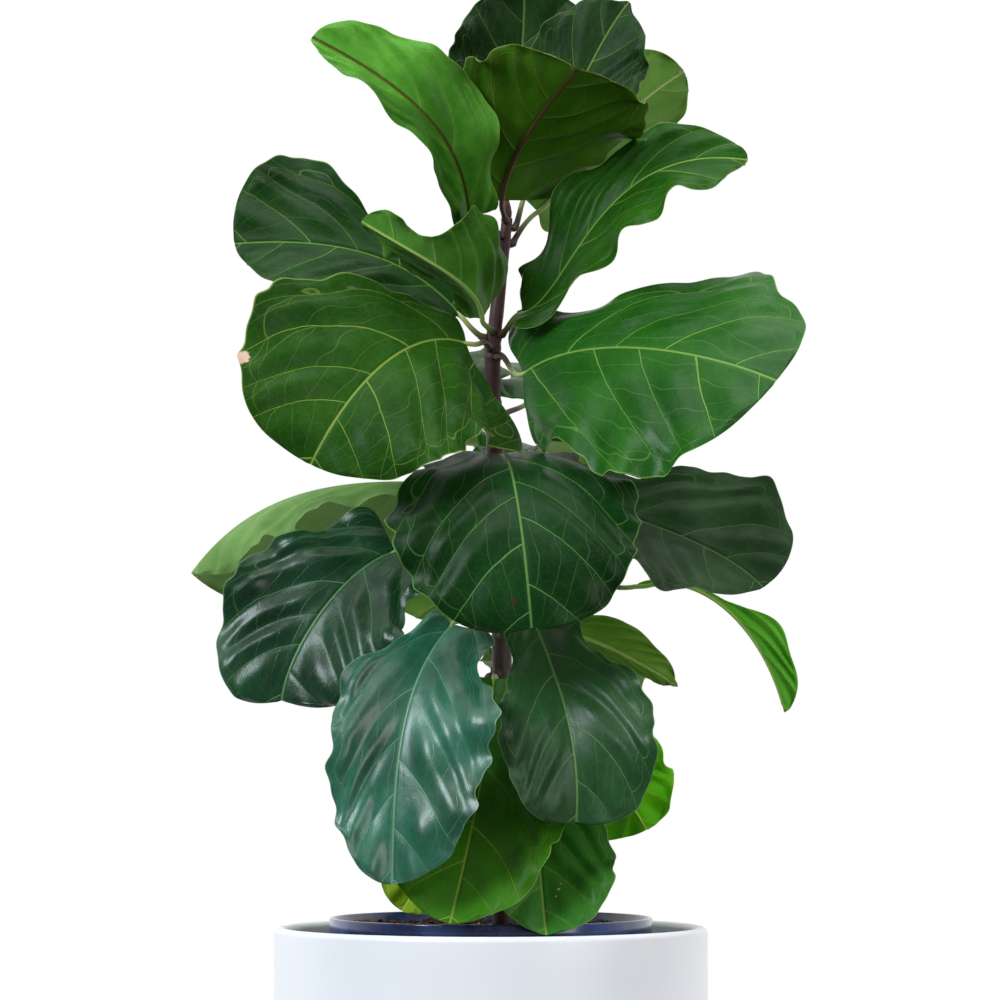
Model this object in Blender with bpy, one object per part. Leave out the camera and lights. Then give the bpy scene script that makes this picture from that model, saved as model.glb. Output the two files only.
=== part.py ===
"""A fiddle leaf fig in a nursery pot, standing inside a plain round outer pot.

Metres, +Z up. The origin is the centre of the outer pot's flat base, and -Y is
the front. Every leaf is one closed blade with its own stalk, and the stem,
the soil, the bud and the two pots are nodes of their own. Nothing moves.
"""

import math

import bpy
import numpy as np

# ---------------------------------------------------------------- dimensions
POT_RADIUS = 0.165          # outer pot
POT_HEIGHT = 0.250
POT_WALL = 0.010
POT_FLOOR = 0.012
POT_LIP = 0.0045            # rounding of the outer pot's rim
POT_FOOT = 0.004            # rounding where the wall meets the base
NURSERY_RIM = 0.123         # nursery pot, outside of its rim
NURSERY_BODY = 0.1195       # outside of the wall just under the rim
NURSERY_FOOT = 0.096        # outside of the wall at the bottom
NURSERY_TOP = 0.257         # height of its rim above the ground
NURSERY_BAND = 0.013        # height of the rim band
NURSERY_WALL = 0.0020
DRAIN_HOLES = 8
DRAIN_RADIUS = 0.006
DRAIN_CIRCLE = 0.074
SOIL_LEVEL = 0.2490         # mean height of the soil
GAP = 0.0003                # clear space between neighbouring pieces
BLADE = 0.0016              # thickness of a blade at its margin side
RIB = 0.0012                # how far the midrib stands out below
STALK_BASE = 0.0026         # radius of a leaf stalk at the stem
STALK_TIP = 0.0019          # radius of a leaf stalk at the blade

# Stem: x, y, height and radius up its axis. The buried end is upright.
STEM = np.array([
    (0.0110, 0.0110, 0.2000, 0.0100),
    (0.0110, 0.0110, 0.2580, 0.0096),
    (0.0085, 0.0135, 0.3300, 0.0086),
    (0.0085, 0.0130, 0.4200, 0.0079),
    (0.0080, 0.0125, 0.4900, 0.0074),
    (0.0055, 0.0120, 0.5600, 0.0068),
    (0.0020, 0.0100, 0.6300, 0.0064),
    (0.0010, 0.0080, 0.6900, 0.0060),
    (0.0070, 0.0095, 0.7450, 0.0050),
    (0.0125, 0.0120, 0.7930, 0.0040),
])

# ------------------------------------------------------------------ materials
COLOURS = {
    "outer_pot": ((0.83, 0.84, 0.88, 1.0), 0.22),
    "nursery_pot": ((0.012, 0.020, 0.045, 1.0), 0.18),
    "soil": ((0.070, 0.034, 0.020, 1.0), 0.95),
    "stem": ((0.060, 0.022, 0.020, 1.0), 0.60),
    "bud": ((0.110, 0.045, 0.018, 1.0), 0.55),
    "leaf": ((0.045, 0.150, 0.040, 1.0), 0.35),
}


def material(name):
    """The Principled material of one kind of piece, made once."""
    found = bpy.data.materials.get(name)
    if found:
        return found
    colour, roughness = COLOURS[name]
    made = bpy.data.materials.new(name)
    made.use_nodes = True
    shader = made.node_tree.nodes["Principled BSDF"]
    shader.inputs["Base Color"].default_value = colour
    shader.inputs["Roughness"].default_value = roughness
    shader.inputs["Metallic"].default_value = 0.0
    made.diffuse_color = colour
    return made


def add(name, points, faces, kind, sharp=40.0):
    """One named object from points and faces, shaded smooth, with its material."""
    mesh = bpy.data.meshes.new(name)
    corners = [tuple(p) for p in np.asarray(points, float)]
    mesh.from_pydata(corners, [], [tuple(int(i) for i in f) for f in faces])
    mesh.validate()
    obj = bpy.data.objects.new(name, mesh)
    bpy.context.scene.collection.objects.link(obj)
    mesh.materials.append(material(kind))
    mesh.shade_smooth()
    mesh.set_sharp_from_angle(angle=math.radians(sharp))
    return obj


for old in list(bpy.data.objects):
    bpy.data.objects.remove(old, do_unlink=True)


# ------------------------------------------------------------------ helpers
def unit(v):
    """Vectors scaled to length one."""
    v = np.asarray(v, float)
    return v / np.linalg.norm(v, axis=-1, keepdims=True)


def smooth(lo, hi, x):
    """A smooth step from 0 at lo to 1 at hi."""
    t = np.clip((x - lo) / (hi - lo), 0.0, 1.0)
    return t * t * (3.0 - 2.0 * t)


def loft_faces(rings, sides):
    """Quads between successive closed rings, and a fan to one point at each end."""
    faces = []
    for r in range(rings - 1):
        for k in range(sides):
            a = r * sides + k
            b = r * sides + (k + 1) % sides
            faces.append((a, b, b + sides, a + sides))
    first = rings * sides
    last = first + 1
    top = (rings - 1) * sides
    for k in range(sides):
        n = (k + 1) % sides
        faces.append((first, n, k))
        faces.append((last, top + k, top + n))
    return faces


def turned(profile, sides):
    """A closed solid of revolution about Z from a closed profile of (radius, height).

    The profile runs up the outside, over the rim and down the inside. Its two
    end points lie on the axis, and they close the base and the floor.
    """
    ring = profile[1:-1]
    turn = np.arange(sides) * 2.0 * np.pi / sides
    points = [(r * math.cos(t), r * math.sin(t), z) for r, z in ring for t in turn]
    points.append((0.0, 0.0, profile[0][1]))
    points.append((0.0, 0.0, profile[-1][1]))
    return points, loft_faces(len(ring), sides)


def rounded(centre, radius, start, end, steps):
    """Points on an arc, with angles in degrees."""
    turn = np.radians(np.linspace(start, end, steps))
    return [(centre[0] + radius * math.cos(t), centre[1] + radius * math.sin(t)) for t in turn]


# ------------------------------------------------------------------ outer pot
def outer_pot():
    """A straight round pot with a rounded rim and foot and a flat floor."""
    inner = POT_RADIUS - POT_WALL
    profile = [(0.0, 0.0)]
    profile += rounded((POT_RADIUS - POT_FOOT, POT_FOOT), POT_FOOT, -90, 0, 3)
    profile += rounded((POT_RADIUS - POT_LIP, POT_HEIGHT - POT_LIP), POT_LIP, 0, 90, 4)
    profile += rounded((inner + POT_LIP, POT_HEIGHT - POT_LIP), POT_LIP, 90, 180, 4)
    profile += rounded((inner - POT_FOOT, POT_FLOOR + POT_FOOT), POT_FOOT, 0, -90, 3)
    profile += [(0.0, POT_FLOOR)]
    points, faces = turned(profile, 56)
    return add("outer_pot", points, faces, "outer_pot", 50.0)


# ---------------------------------------------------------------- nursery pot
def nursery_pot():
    """A tapered thin pot with a rolled rim band and drain holes through its floor."""
    bottom = POT_FLOOR + GAP
    wall = NURSERY_WALL
    band = NURSERY_TOP - NURSERY_BAND
    profile = [
        (0.0, bottom),
        (NURSERY_FOOT - 0.003, bottom),
        (NURSERY_FOOT, bottom + 0.003),
        (NURSERY_BODY, band - 0.001),
        (NURSERY_RIM - 0.0006, band),
        (NURSERY_RIM, band + 0.0006),
        (NURSERY_RIM, NURSERY_TOP - 0.0008),
        (NURSERY_RIM - 0.0008, NURSERY_TOP),
        (NURSERY_RIM - wall, NURSERY_TOP),
        (NURSERY_RIM - wall - 0.0006, NURSERY_TOP - 0.0008),
        (NURSERY_BODY - wall, band - 0.004),
        (NURSERY_FOOT - wall, bottom + wall + 0.002),
        (NURSERY_FOOT - wall - 0.002, bottom + wall),
        (0.0, bottom + wall),
    ]
    points, faces = turned(profile, 48)
    pot = add("nursery_pot", points, faces, "nursery_pot", 35.0)
    for k in range(DRAIN_HOLES):
        turn = 2.0 * math.pi * (k + 0.5) / DRAIN_HOLES
        where = (DRAIN_CIRCLE * math.cos(turn), DRAIN_CIRCLE * math.sin(turn), bottom)
        bpy.ops.mesh.primitive_cylinder_add(vertices=16, radius=DRAIN_RADIUS, depth=0.02, location=where)
        cutter = bpy.context.active_object
        cutter.name = "drain_cutter_" + str(k)
        cutter.hide_render = True
        cutter.display_type = "WIRE"
        cut = pot.modifiers.new("drain_" + str(k), "BOOLEAN")
        cut.operation = "DIFFERENCE"
        cut.solver = "EXACT"
        cut.object = cutter
    return pot


# ----------------------------------------------------------------------- soil
def inner_radius(z):
    """Inside radius of the nursery pot at one height."""
    low = POT_FLOOR + GAP + NURSERY_WALL + 0.002
    high = NURSERY_TOP - NURSERY_BAND - 0.004
    t = np.clip((z - low) / (high - low), 0.0, 1.0)
    foot = NURSERY_FOOT - NURSERY_WALL
    return foot + (NURSERY_BODY - NURSERY_WALL - foot) * t


def soil_height(x, y):
    """Height of the soil: two low swells and a heap toward the left."""
    swell = 0.0016 * np.sin(61.0 * x + 1.0) * np.cos(53.0 * y + 0.6)
    ripple = 0.0010 * np.sin(118.0 * x - 97.0 * y + 2.0)
    heap = 0.0030 * np.exp(-((x + 0.085) ** 2 + (y + 0.02) ** 2) / 0.0012)
    return SOIL_LEVEL + swell + ripple + heap


def soil():
    """The ball of soil, shaped to the pot, with an uneven top and a pit for the stem."""
    sides = 48
    turn = np.arange(sides) * 2.0 * np.pi / sides
    cx, cy = STEM[0, 0], STEM[0, 1]
    pit = STEM[0, 3] + 0.0008
    floor = POT_FLOOR + 2.0 * GAP + NURSERY_WALL
    rings = []
    outer = []
    for z in (floor, floor + 0.003, 0.130, 0.236):
        pull = 0.0035 if z == floor else 0.0008
        outer.append((inner_radius(z) - pull, z))
    for r, z in outer:
        rings.append(np.stack([r * np.cos(turn), r * np.sin(turn), np.full(sides, z)], -1))
    reach = outer[-1][0]
    for share in (1.0, 0.86, 0.68, 0.50, 0.32, 0.16, 0.05, 0.0):
        px = cx * (1.0 - share) + (pit + (reach - pit) * share) * np.cos(turn)
        py = cy * (1.0 - share) + (pit + (reach - pit) * share) * np.sin(turn)
        rings.append(np.stack([px, py, soil_height(px, py)], -1))
    ring = rings[-1].copy()
    ring[:, 2] = STEM[0, 2] - GAP
    rings.append(ring)
    points = np.concatenate(rings + [[(0.0, 0.0, floor)], [(cx, cy, STEM[0, 2] - GAP)]])
    return add("soil", points, loft_faces(len(rings), sides), "soil", 60.0)


# ----------------------------------------------------------------------- stem
def stem_at(z):
    """Centre and radius of the stem at one height."""
    centre = np.array([np.interp(z, STEM[:, 2], STEM[:, 0]), np.interp(z, STEM[:, 2], STEM[:, 1]), z])
    return centre, float(np.interp(z, STEM[:, 2], STEM[:, 3]))


def stem():
    """The tapered stem, from its buried end to the shoot."""
    sides = 12
    turn = np.arange(sides) * 2.0 * np.pi / sides
    rings = []
    for x, y, z, r in STEM:
        rings.append(np.stack([x + r * np.cos(turn), y + r * np.sin(turn), np.full(sides, z)], -1))
    ends = [STEM[0, :3], STEM[-1, :3]]
    points = np.concatenate(rings + [ends])
    return add("stem", points, loft_faces(len(rings), sides), "stem", 50.0)


def bud():
    """The pointed sheath at the tip of the shoot."""
    sides = 10
    turn = np.arange(sides) * 2.0 * np.pi / sides
    x, y, z, _ = STEM[-1]
    rings = []
    for step, radius in ((0.0, 0.0030), (0.004, 0.0040), (0.009, 0.0036), (0.015, 0.0022), (0.019, 0.0009)):
        lean = 0.10 * step
        height = z + GAP + step
        rings.append(np.stack([x - lean + radius * np.cos(turn), y + radius * np.sin(turn),
                               np.full(sides, height)], -1))
    ends = [(x, y, z + GAP), (x - 0.0021, y, z + GAP + 0.021)]
    points = np.concatenate(rings + [ends])
    return add("apical_bud", points, loft_faces(len(rings), sides), "bud", 50.0)


# --------------------------------------------------------------------- leaves
USUAL = dict(
    waist=0.45, at=0.62, blunt=5.0, lobe=0.10, start=0.16, cord=0.05, notch=0.0, tip=0.0,
    fold=(12, 12), curl=(10, 10), wave=0.006, waves=(3.0, 3.3), phase=(0.0, 1.6), rise=0.5,
    left={}, right={}, bumps=(),
)


def midrib(spec):
    """Arc length, points and tangents along the stalk and the midrib.

    The midrib is the cubic through the four points of rib. The stalk is a
    Bezier curve from the stem's surface that meets it smoothly. Arc length is
    0 where the blade starts and negative on the stalk.
    """
    p = [np.asarray(q, float) for q in spec["rib"]]
    t = np.linspace(0.0, 1.0, 241)[:, None]
    rib = (p[0] * (t - 1 / 3) * (t - 2 / 3) * (t - 1) / (-2 / 9)
           + p[1] * t * (t - 2 / 3) * (t - 1) / (2 / 27)
           + p[2] * t * (t - 1 / 3) * (t - 1) / (-2 / 27)
           + p[3] * t * (t - 1 / 3) * (t - 2 / 3) / (2 / 9))
    centre, radius = stem_at(spec["node"])
    out = rib[0] - centre
    out[2] = 0.0
    out = unit(out)
    tilt = spec["rise"] / math.hypot(1.0, spec["rise"])
    start = centre + out * (radius + STALK_BASE * tilt + 2.0 * GAP)
    reach = np.linalg.norm(rib[0] - start)
    away = unit(out + np.array([0.0, 0.0, spec["rise"]]))
    along = unit(rib[1] - rib[0])
    h = np.linspace(0.0, 1.0, 61)[:, None]
    stalk = ((1 - h) ** 3 * start + 3 * (1 - h) ** 2 * h * (start + away * reach * 0.35)
             + 3 * (1 - h) * h ** 2 * (rib[0] - along * reach * 0.35) + h ** 3 * rib[0])
    points = np.concatenate([stalk[:-1], rib])
    u = np.concatenate([[0.0], np.cumsum(np.linalg.norm(np.diff(points, axis=0), axis=1))])
    u = u - u[len(stalk) - 1]
    return u, points, unit(np.gradient(points, u, axis=0))


def outline(s, side):
    """Half width of a blade, 0 to 1, from its base to its apex: narrow shoulders, broad top."""
    def shape(s):
        body = side["waist"] + (1 - side["waist"]) * smooth(side["start"], side["at"], s)
        body = body + side["lobe"] * np.exp(-((s - 0.07) / 0.09) ** 2)
        ends = np.sqrt(np.clip(1 - (1 - s) ** 16, 0, 1)) * np.sqrt(np.clip(1 - s ** side["blunt"], 0, 1))
        return body * ends
    return shape(s) / shape(np.linspace(0, 1, 400)).max()


def blade(spec, s, v):
    """Middle surface of a blade at stations s along it (0 to 1) and v across it (-1 to 1).

    Each half is an arc that leaves the midrib at its fold angle and turns by
    its curl angle, and the margin carries a small wave. The basal lobes run
    back past the end of the stalk in the plane of the blade's base.
    """
    u, points, tangents = midrib(spec)
    length = u[-1]
    S, V = np.meshgrid(s, v, indexing="ij")
    right = V > 0
    left_side = {**spec, **spec["left"]}
    right_side = {**spec, **spec["right"]}
    f = np.where(right, outline(S, right_side), outline(S, left_side))
    for which, centre, spread, gain in spec["bumps"]:
        here = np.where((which == 0) | (np.sign(V) == which), gain, 0.0)
        f = f * (1 + here * np.exp(-((S - centre) / spread) ** 2))
    cord = np.where(right, right_side["cord"], left_side["cord"])
    notch = np.where(right, right_side["notch"], left_side["notch"])
    half = np.where(right, spec["half"][1], spec["half"][0])
    a = np.abs(V) * f
    x = S - cord * np.abs(V) ** 1.6 * (S / 0.06) * np.exp(1 - S / 0.06)
    x = x + notch * np.abs(V) ** 1.5 * smooth(0.72, 0.97, S) * np.sqrt(np.clip(1 - S ** 60, 0, 1))
    x = x + spec["tip"] * smooth(0.86, 1.0, S) * np.exp(-(a / 0.10) ** 2)
    along = x * length
    held = np.clip(along, 0.0, length)
    centre = np.stack([np.interp(held, u, points[:, k]) for k in range(3)], -1)
    T = unit(np.stack([np.interp(held, u, tangents[:, k]) for k in range(3)], -1))
    centre = centre + (along - held)[..., None] * T
    faces = [unit(q) for q in spec["face"]]
    share = S[..., None]
    facing = faces[0] * (1 - share) + faces[-1] * share
    N = unit(facing - (facing * T).sum(-1, keepdims=True) * T)
    across_way = np.cross(T, N)
    fold = np.radians(np.where(right, spec["fold"][1], spec["fold"][0]))
    curl = np.radians(np.where(right, spec["curl"][1], spec["curl"][0]))
    bend = np.sinc(curl * a / 2 / np.pi)
    across = half * a * np.cos(fold + curl * a / 2) * bend
    up = half * a * np.sin(fold + curl * a / 2) * bend
    count = np.where(right, spec["waves"][1], spec["waves"][0])
    phase = np.where(right, spec["phase"][1], spec["phase"][0])
    amount = smooth(0.0, 0.15, S) * np.clip(f, 0.3, 1)
    up = up + spec["wave"] * np.abs(V) ** 2.6 * np.sin(2 * np.pi * count * S + phase) * amount
    return centre + across_way * (np.sign(V) * across)[..., None] + N * up[..., None]


def leaf_faces(rings):
    """Triangles between successive twelve-point rings of a leaf.

    Points 0 to 6 of a ring are its upper side from margin to margin, and 6 to
    12 its under side. Both sides are cut along the same diagonals, so the
    thin sheet between them never crosses itself.
    """
    faces = []
    for r in range(rings - 1):
        for k in range(12):
            a, b = r * 12 + k, r * 12 + (k + 1) % 12
            if k < 6:
                faces += [(a, b, b + 12), (a, b + 12, a + 12)]
            else:
                faces += [(a, b, a + 12), (b, b + 12, a + 12)]
    first = rings * 12
    last = first + 1
    top = (rings - 1) * 12
    for k in range(12):
        n = (k + 1) % 12
        faces.append((first, n, k))
        faces.append((last, top + k, top + n))
    return faces


STATIONS = np.array([0.035, 0.09, 0.18, 0.30, 0.42, 0.54, 0.66, 0.78, 0.88, 0.955, 0.99])
ACROSS = np.array([-1.0, -0.70, -0.36, 0.0, 0.36, 0.70, 1.0])
STALK_STEPS = np.array([0.0, 0.28, 0.55, 0.80, 0.97])


def leaf(name, **given):
    """One leaf with its stalk, as one closed loft of twelve-sided rings."""
    spec = {**USUAL, **given}
    u, points, tangents = midrib(spec)
    upward = unit(spec["face"][0])
    rings = []
    turn = np.radians(180.0 - 30.0 * np.arange(12))
    for step in STALK_STEPS[::-1]:
        where = u[0] * (1 - step)
        c = np.array([np.interp(where, u, points[:, k]) for k in range(3)])
        T = unit([np.interp(where, u, tangents[:, k]) for k in range(3)])
        upward = unit(upward - upward.dot(T) * T)
        side = np.cross(T, upward)
        r = STALK_BASE + (STALK_TIP - STALK_BASE) * step
        rings.insert(0, c + r * (np.cos(turn)[:, None] * side + np.sin(turn)[:, None] * upward))
    middle = blade(spec, STATIONS, ACROSS)
    down_s = np.gradient(middle, axis=0)
    down_v = np.gradient(middle, axis=1)
    normal = unit(np.cross(down_v, down_s))
    rib = RIB * (1 - 0.6 * STATIONS)[:, None, None] * (ACROSS == 0)[None, :, None]
    upper = middle + normal * BLADE / 2
    lower = middle - normal * (BLADE / 2 + rib)
    upper[:, 0] = middle[:, 0]
    upper[:, -1] = middle[:, -1]
    for top, under in zip(upper, lower):
        rings.append(np.concatenate([top, under[5:0:-1]]))
    start = rings[0].mean(axis=0)
    end = blade(spec, np.array([1.0]), np.array([0.0]))[0, 0]
    everything = np.concatenate(rings + [[start], [end]])
    return add(name, everything, leaf_faces(len(rings)), "leaf", 70.0)


# ------------------------------------------------------------------- the plant
outer_pot()
nursery_pot()
soil()
stem()
bud()

# Crown, behind the front leaf, upper side forward.
leaf("leaf_top_back", node=0.788, half=(0.06, 0.0675),
     rib=[(0.013, 0.054, 0.825), (0.019, 0.084, 0.878), (0.024, 0.095, 0.934), (0.026, 0.082, 0.985)],
     face=[(0, -1, 0.3)],
     fold=(12, 12), rise=2, at=0.6, waist=0.5)
# Crown, behind and to the right.
leaf("leaf_top_back_right", node=0.784, half=(0.05, 0.056),
     rib=[(0.028, 0.02, 0.815), (0.052, 0.03, 0.863), (0.078, 0.036, 0.917), (0.104, 0.036, 0.96)],
     face=[(-0.3, -1, 0.2)],
     fold=(10, 10), tip=0.03, rise=2, at=0.55)
# Crown, in front, its underside forward.
leaf("leaf_top_centre", node=0.790, half=(0.09, 0.068),
     rib=[(0.008, -0.012, 0.804), (0.019, -0.04, 0.836), (0.041, -0.083, 0.866), (0.065, -0.124, 0.89)],
     face=[(-0.2, 0.85, 0.4), (0, 0.7, 0.7)],
     fold=(10, 10), rise=1.5, left=dict(waist=0.66, at=0.5),
     right=dict(waist=0.42, at=0.62, start=0.2, lobe=0))
# Crown, low on the right, its underside forward.
leaf("leaf_top_right", node=0.772, half=(0.0475, 0.0475),
     rib=[(0.036, 0.032, 0.8), (0.058, 0.044, 0.826), (0.094, 0.06, 0.868), (0.151, 0.07, 0.914)],
     face=[(-0.3, 0.9, 0.3)],
     rise=1.5)
# Crown, long and folded, reaching up to the left.
leaf("leaf_upper_left", node=0.778, half=(0.03, 0.046),
     rib=[(-0.017, -0.02, 0.791), (-0.027, -0.066, 0.829), (-0.06, -0.092, 0.87), (-0.134, -0.09, 0.918)],
     face=[(0.1, -0.9, 0.4)],
     fold=(25, 25), curl=(0, 10), rise=1.5, at=0.45, waist=0.45, blunt=2.5, left=dict(at=0.35, waist=0.8))
# Left, level with the upper joint.
leaf("leaf_left_dark", node=0.700, half=(0.075, 0.085),
     rib=[(-0.024, 0.004, 0.718), (-0.07, 0.008, 0.755), (-0.127, 0, 0.771), (-0.196, -0.01, 0.771)],
     face=[(0.1, -0.75, 0.6)],
     fold=(12, 5), right=dict(at=0.78, waist=0.34, start=0.4, blunt=6, lobe=0),
     left=dict(at=0.45, waist=0.6))
# Upper joint, small and tightly folded.
leaf("leaf_small_centre", node=0.705, half=(0.062, 0.04),
     rib=[(-0.007, -0.018, 0.713), (-0.017, -0.055, 0.732), (-0.045, -0.095, 0.749), (-0.096, -0.115, 0.777)],
     face=[(-0.3, 0.5, 0.8)],
     fold=(45, 35), left=dict(at=0.3, waist=0.8, blunt=1.8, lobe=0), bumps=[(-1, 0.72, 0.2, -0.7)])
# Right, rising, with a wavy lower margin.
leaf("leaf_right_upper", node=0.702, half=(0.045, 0.064),
     rib=[(0.024, -0.012, 0.718), (0.059, -0.029, 0.755), (0.107, -0.045, 0.811), (0.194, -0.055, 0.83)],
     face=[(-0.3, -0.6, 0.75)],
     fold=(15, 5), wave=0.007, waves=(3, 4), left=dict(at=0.5, waist=0.7, blunt=3),
     right=dict(at=0.5, waist=0.45), bumps=[(1, 0.52, 0.12, 0.15)])
# Right, the largest blade.
leaf("leaf_right_big", node=0.685, half=(0.095, 0.112),
     rib=[(0.024, -0.03, 0.67), (0.08, -0.075, 0.686), (0.148, -0.12, 0.678), (0.209, -0.16, 0.656)],
     face=[(-0.1, -0.9, 0.45)],
     fold=(-5, 0), curl=(-20, -5), left=dict(at=0.8, waist=0.38, lobe=0.25, cord=0.12),
     right=dict(at=0.6, waist=0.64, blunt=6), bumps=[(-1, 0.76, 0.05, 0.14), (-1, 0.88, 0.03, -0.06)])
# Left, hanging, with a deep lobe beside its stalk.
leaf("leaf_left_big", node=0.692, half=(0.094, 0.1),
     rib=[(-0.019, -0.05, 0.692), (-0.068, -0.1, 0.681), (-0.107, -0.14, 0.639), (-0.132, -0.15, 0.595)],
     face=[(0.1, -0.85, 0.5)],
     fold=(-2, 12), curl=(-5, 10), left=dict(cord=0.26, lobe=0.2, waist=0.95, at=0.3),
     right=dict(cord=0, lobe=0, waist=0.28, start=0.05, at=0.6))
# Left, arched over with its far half hanging.
leaf("leaf_far_left", node=0.590, half=(0.055, 0.085),
     rib=[(-0.051, 0.01, 0.59), (-0.114, 0.02, 0.588), (-0.176, 0.02, 0.569), (-0.23, 0.01, 0.52)],
     face=[(0, -0.1, 1)],
     fold=(-18, -62), curl=(0, -5), at=0.55, waist=0.6, right=dict(blunt=9))
# Left, below the arched leaf.
leaf("leaf_left_glossy", node=0.540, half=(0.083, 0.073),
     rib=[(-0.073, -0.03, 0.535), (-0.112, -0.047, 0.508), (-0.143, -0.058, 0.464), (-0.157, -0.062, 0.422)],
     face=[(-0.2, -0.8, 0.5)],
     fold=(0, 12), notch=0.05, at=0.5, waist=0.6, left=dict(blunt=8))
# Front, round, the nearest blade.
leaf("leaf_front_round", node=0.600, half=(0.092, 0.098),
     rib=[(0.007, -0.035, 0.608), (0.016, -0.105, 0.589), (0.024, -0.15, 0.536), (0.03, -0.16, 0.475)],
     face=[(0, -0.3, 1), (0.05, -1, 0.15)],
     fold=(0, 0), curl=(-15, -15), notch=0.03, waist=0.6, at=0.5)
# Right, below the largest blade.
leaf("leaf_right_mid", node=0.570, half=(0.08, 0.112),
     rib=[(0.053, 0.01, 0.58), (0.11, -0.02, 0.56), (0.164, -0.04, 0.537), (0.205, -0.055, 0.507)],
     face=[(0.1, -0.6, 0.8)],
     left=dict(at=0.75), right=dict(at=0.5, waist=0.6))
# Right, narrow, closed and drooping.
leaf("leaf_right_curl", node=0.525, half=(0.022, 0.03),
     rib=[(0.115, 0.03, 0.502), (0.161, 0.035, 0.501), (0.201, 0.035, 0.469), (0.226, 0.03, 0.413)],
     face=[(0.6, 0.1, 0.7)],
     fold=(64, 58), curl=(0, 20), at=0.5, blunt=2.6)
# Lower left, hanging.
leaf("leaf_low_left", node=0.495, half=(0.076, 0.054),
     rib=[(-0.029, -0.08, 0.479), (-0.057, -0.12, 0.43), (-0.069, -0.14, 0.367), (-0.072, -0.15, 0.288)],
     face=[(-0.15, -0.95, 0.2)],
     at=0.4, waist=0.5, blunt=4, right=dict(waist=0.3, start=0.1))
# Lower right of the middle, hanging.
leaf("leaf_low_centre", node=0.490, half=(0.064, 0.058),
     rib=[(0.034, -0.055, 0.478), (0.05, -0.1, 0.434), (0.061, -0.125, 0.386), (0.063, -0.125, 0.333)],
     face=[(0.1, -1, 0.3)],
     notch=0.02, at=0.6, blunt=7)
# Bottom, hanging over the rim of the inner pot.
leaf("leaf_bottom_centre", node=0.430, half=(0.075, 0.075),
     rib=[(0.002, -0.018, 0.438), (-0.004, -0.045, 0.385), (-0.015, -0.09, 0.322), (-0.03, -0.145, 0.259)],
     face=[(-0.1, -0.95, 0.2)],
     at=0.5, waist=0.6)
# Bottom right, its tip between the two pots.
leaf("leaf_bottom_right", node=0.405, half=(0.058, 0.05),
     rib=[(0.016, -0.03, 0.392), (0.031, -0.05, 0.34), (0.037, -0.075, 0.296), (0.041, -0.13, 0.25)],
     face=[(0.1, -1, 0.3)])
# Behind the lower leaves, on the right.
leaf("leaf_right_low_back", node=0.395, half=(0.06, 0.048),
     rib=[(0.034, 0.035, 0.396), (0.06, 0.05, 0.384), (0.094, 0.056, 0.357), (0.12, 0.055, 0.322)],
     face=[(0.1, 0.9, 0.4)],
     wave=0.006, waves=(5, 6))
# Behind the lower leaves, on the left.
leaf("leaf_low_left_back", node=0.405, half=(0.04, 0.04),
     rib=[(-0.008, -0.012, 0.377), (-0.022, -0.02, 0.343), (-0.044, -0.035, 0.303), (-0.067, -0.045, 0.264)],
     face=[(-0.2, -1, 0.3)])
# Right, small and pointed.
leaf("leaf_right_small", node=0.495, half=(0.026, 0.026),
     rib=[(0.049, -0.01, 0.477), (0.079, -0.02, 0.468), (0.109, -0.03, 0.453), (0.138, -0.035, 0.435)],
     face=[(0.3, 0.7, 0.7)],
     tip=0.04, at=0.5, waist=0.6, blunt=2.4)
# Back.
leaf("leaf_back_mid", node=0.615, half=(0.075, 0.075),
     rib=[(0.016, 0.05, 0.607), (0.034, 0.1, 0.621), (0.045, 0.16, 0.618), (0.052, 0.2, 0.584)],
     face=[(0, 0.2, 1), (0, 0.8, 0.6)])
leaf("leaf_back_left", node=0.650, half=(0.075, 0.075),
     rib=[(-0.016, 0.05, 0.667), (-0.048, 0.1, 0.69), (-0.085, 0.15, 0.686), (-0.106, 0.18, 0.655)],
     face=[(-0.2, 0.3, 1), (-0.3, 0.8, 0.6)])
leaf("leaf_back_right", node=0.640, half=(0.08, 0.08),
     rib=[(0.03, 0.05, 0.655), (0.062, 0.1, 0.678), (0.099, 0.15, 0.678), (0.123, 0.18, 0.651)],
     face=[(0.2, 0.3, 1), (0.3, 0.8, 0.6)])
leaf("leaf_back_low", node=0.535, half=(0.08, 0.08),
     rib=[(-0.001, 0.05, 0.508), (-0.017, 0.1, 0.525), (-0.029, 0.15, 0.514), (-0.033, 0.18, 0.483)],
     face=[(0, 0.3, 1), (0, 1, 0.4)])
leaf("leaf_back_low_right", node=0.470, half=(0.07, 0.07),
     rib=[(0.03, 0.05, 0.43), (0.042, 0.09, 0.438), (0.054, 0.14, 0.423), (0.063, 0.16, 0.387)],
     face=[(0.2, 0.3, 1), (0.3, 0.8, 0.4)])
leaf("leaf_back_low_left", node=0.440, half=(0.065, 0.065),
     rib=[(-0.016, 0.04, 0.388), (-0.032, 0.08, 0.395), (-0.048, 0.12, 0.379), (-0.053, 0.14, 0.343)],
     face=[(-0.2, 0.3, 1), (-0.3, 0.8, 0.4)])
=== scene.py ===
# %% [markdown]
# # A fiddle leaf fig in its pots
# The plant is twenty-eight big leathery leaves on a thin stem, in a dark nursery pot that stands
# inside a plain white outer pot. Each piece below is a surface worked out from a formula, so that
# a reader can change one number and see what it does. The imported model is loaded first, because
# every piece has to sit where its solid sits.

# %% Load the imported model
import math

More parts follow.
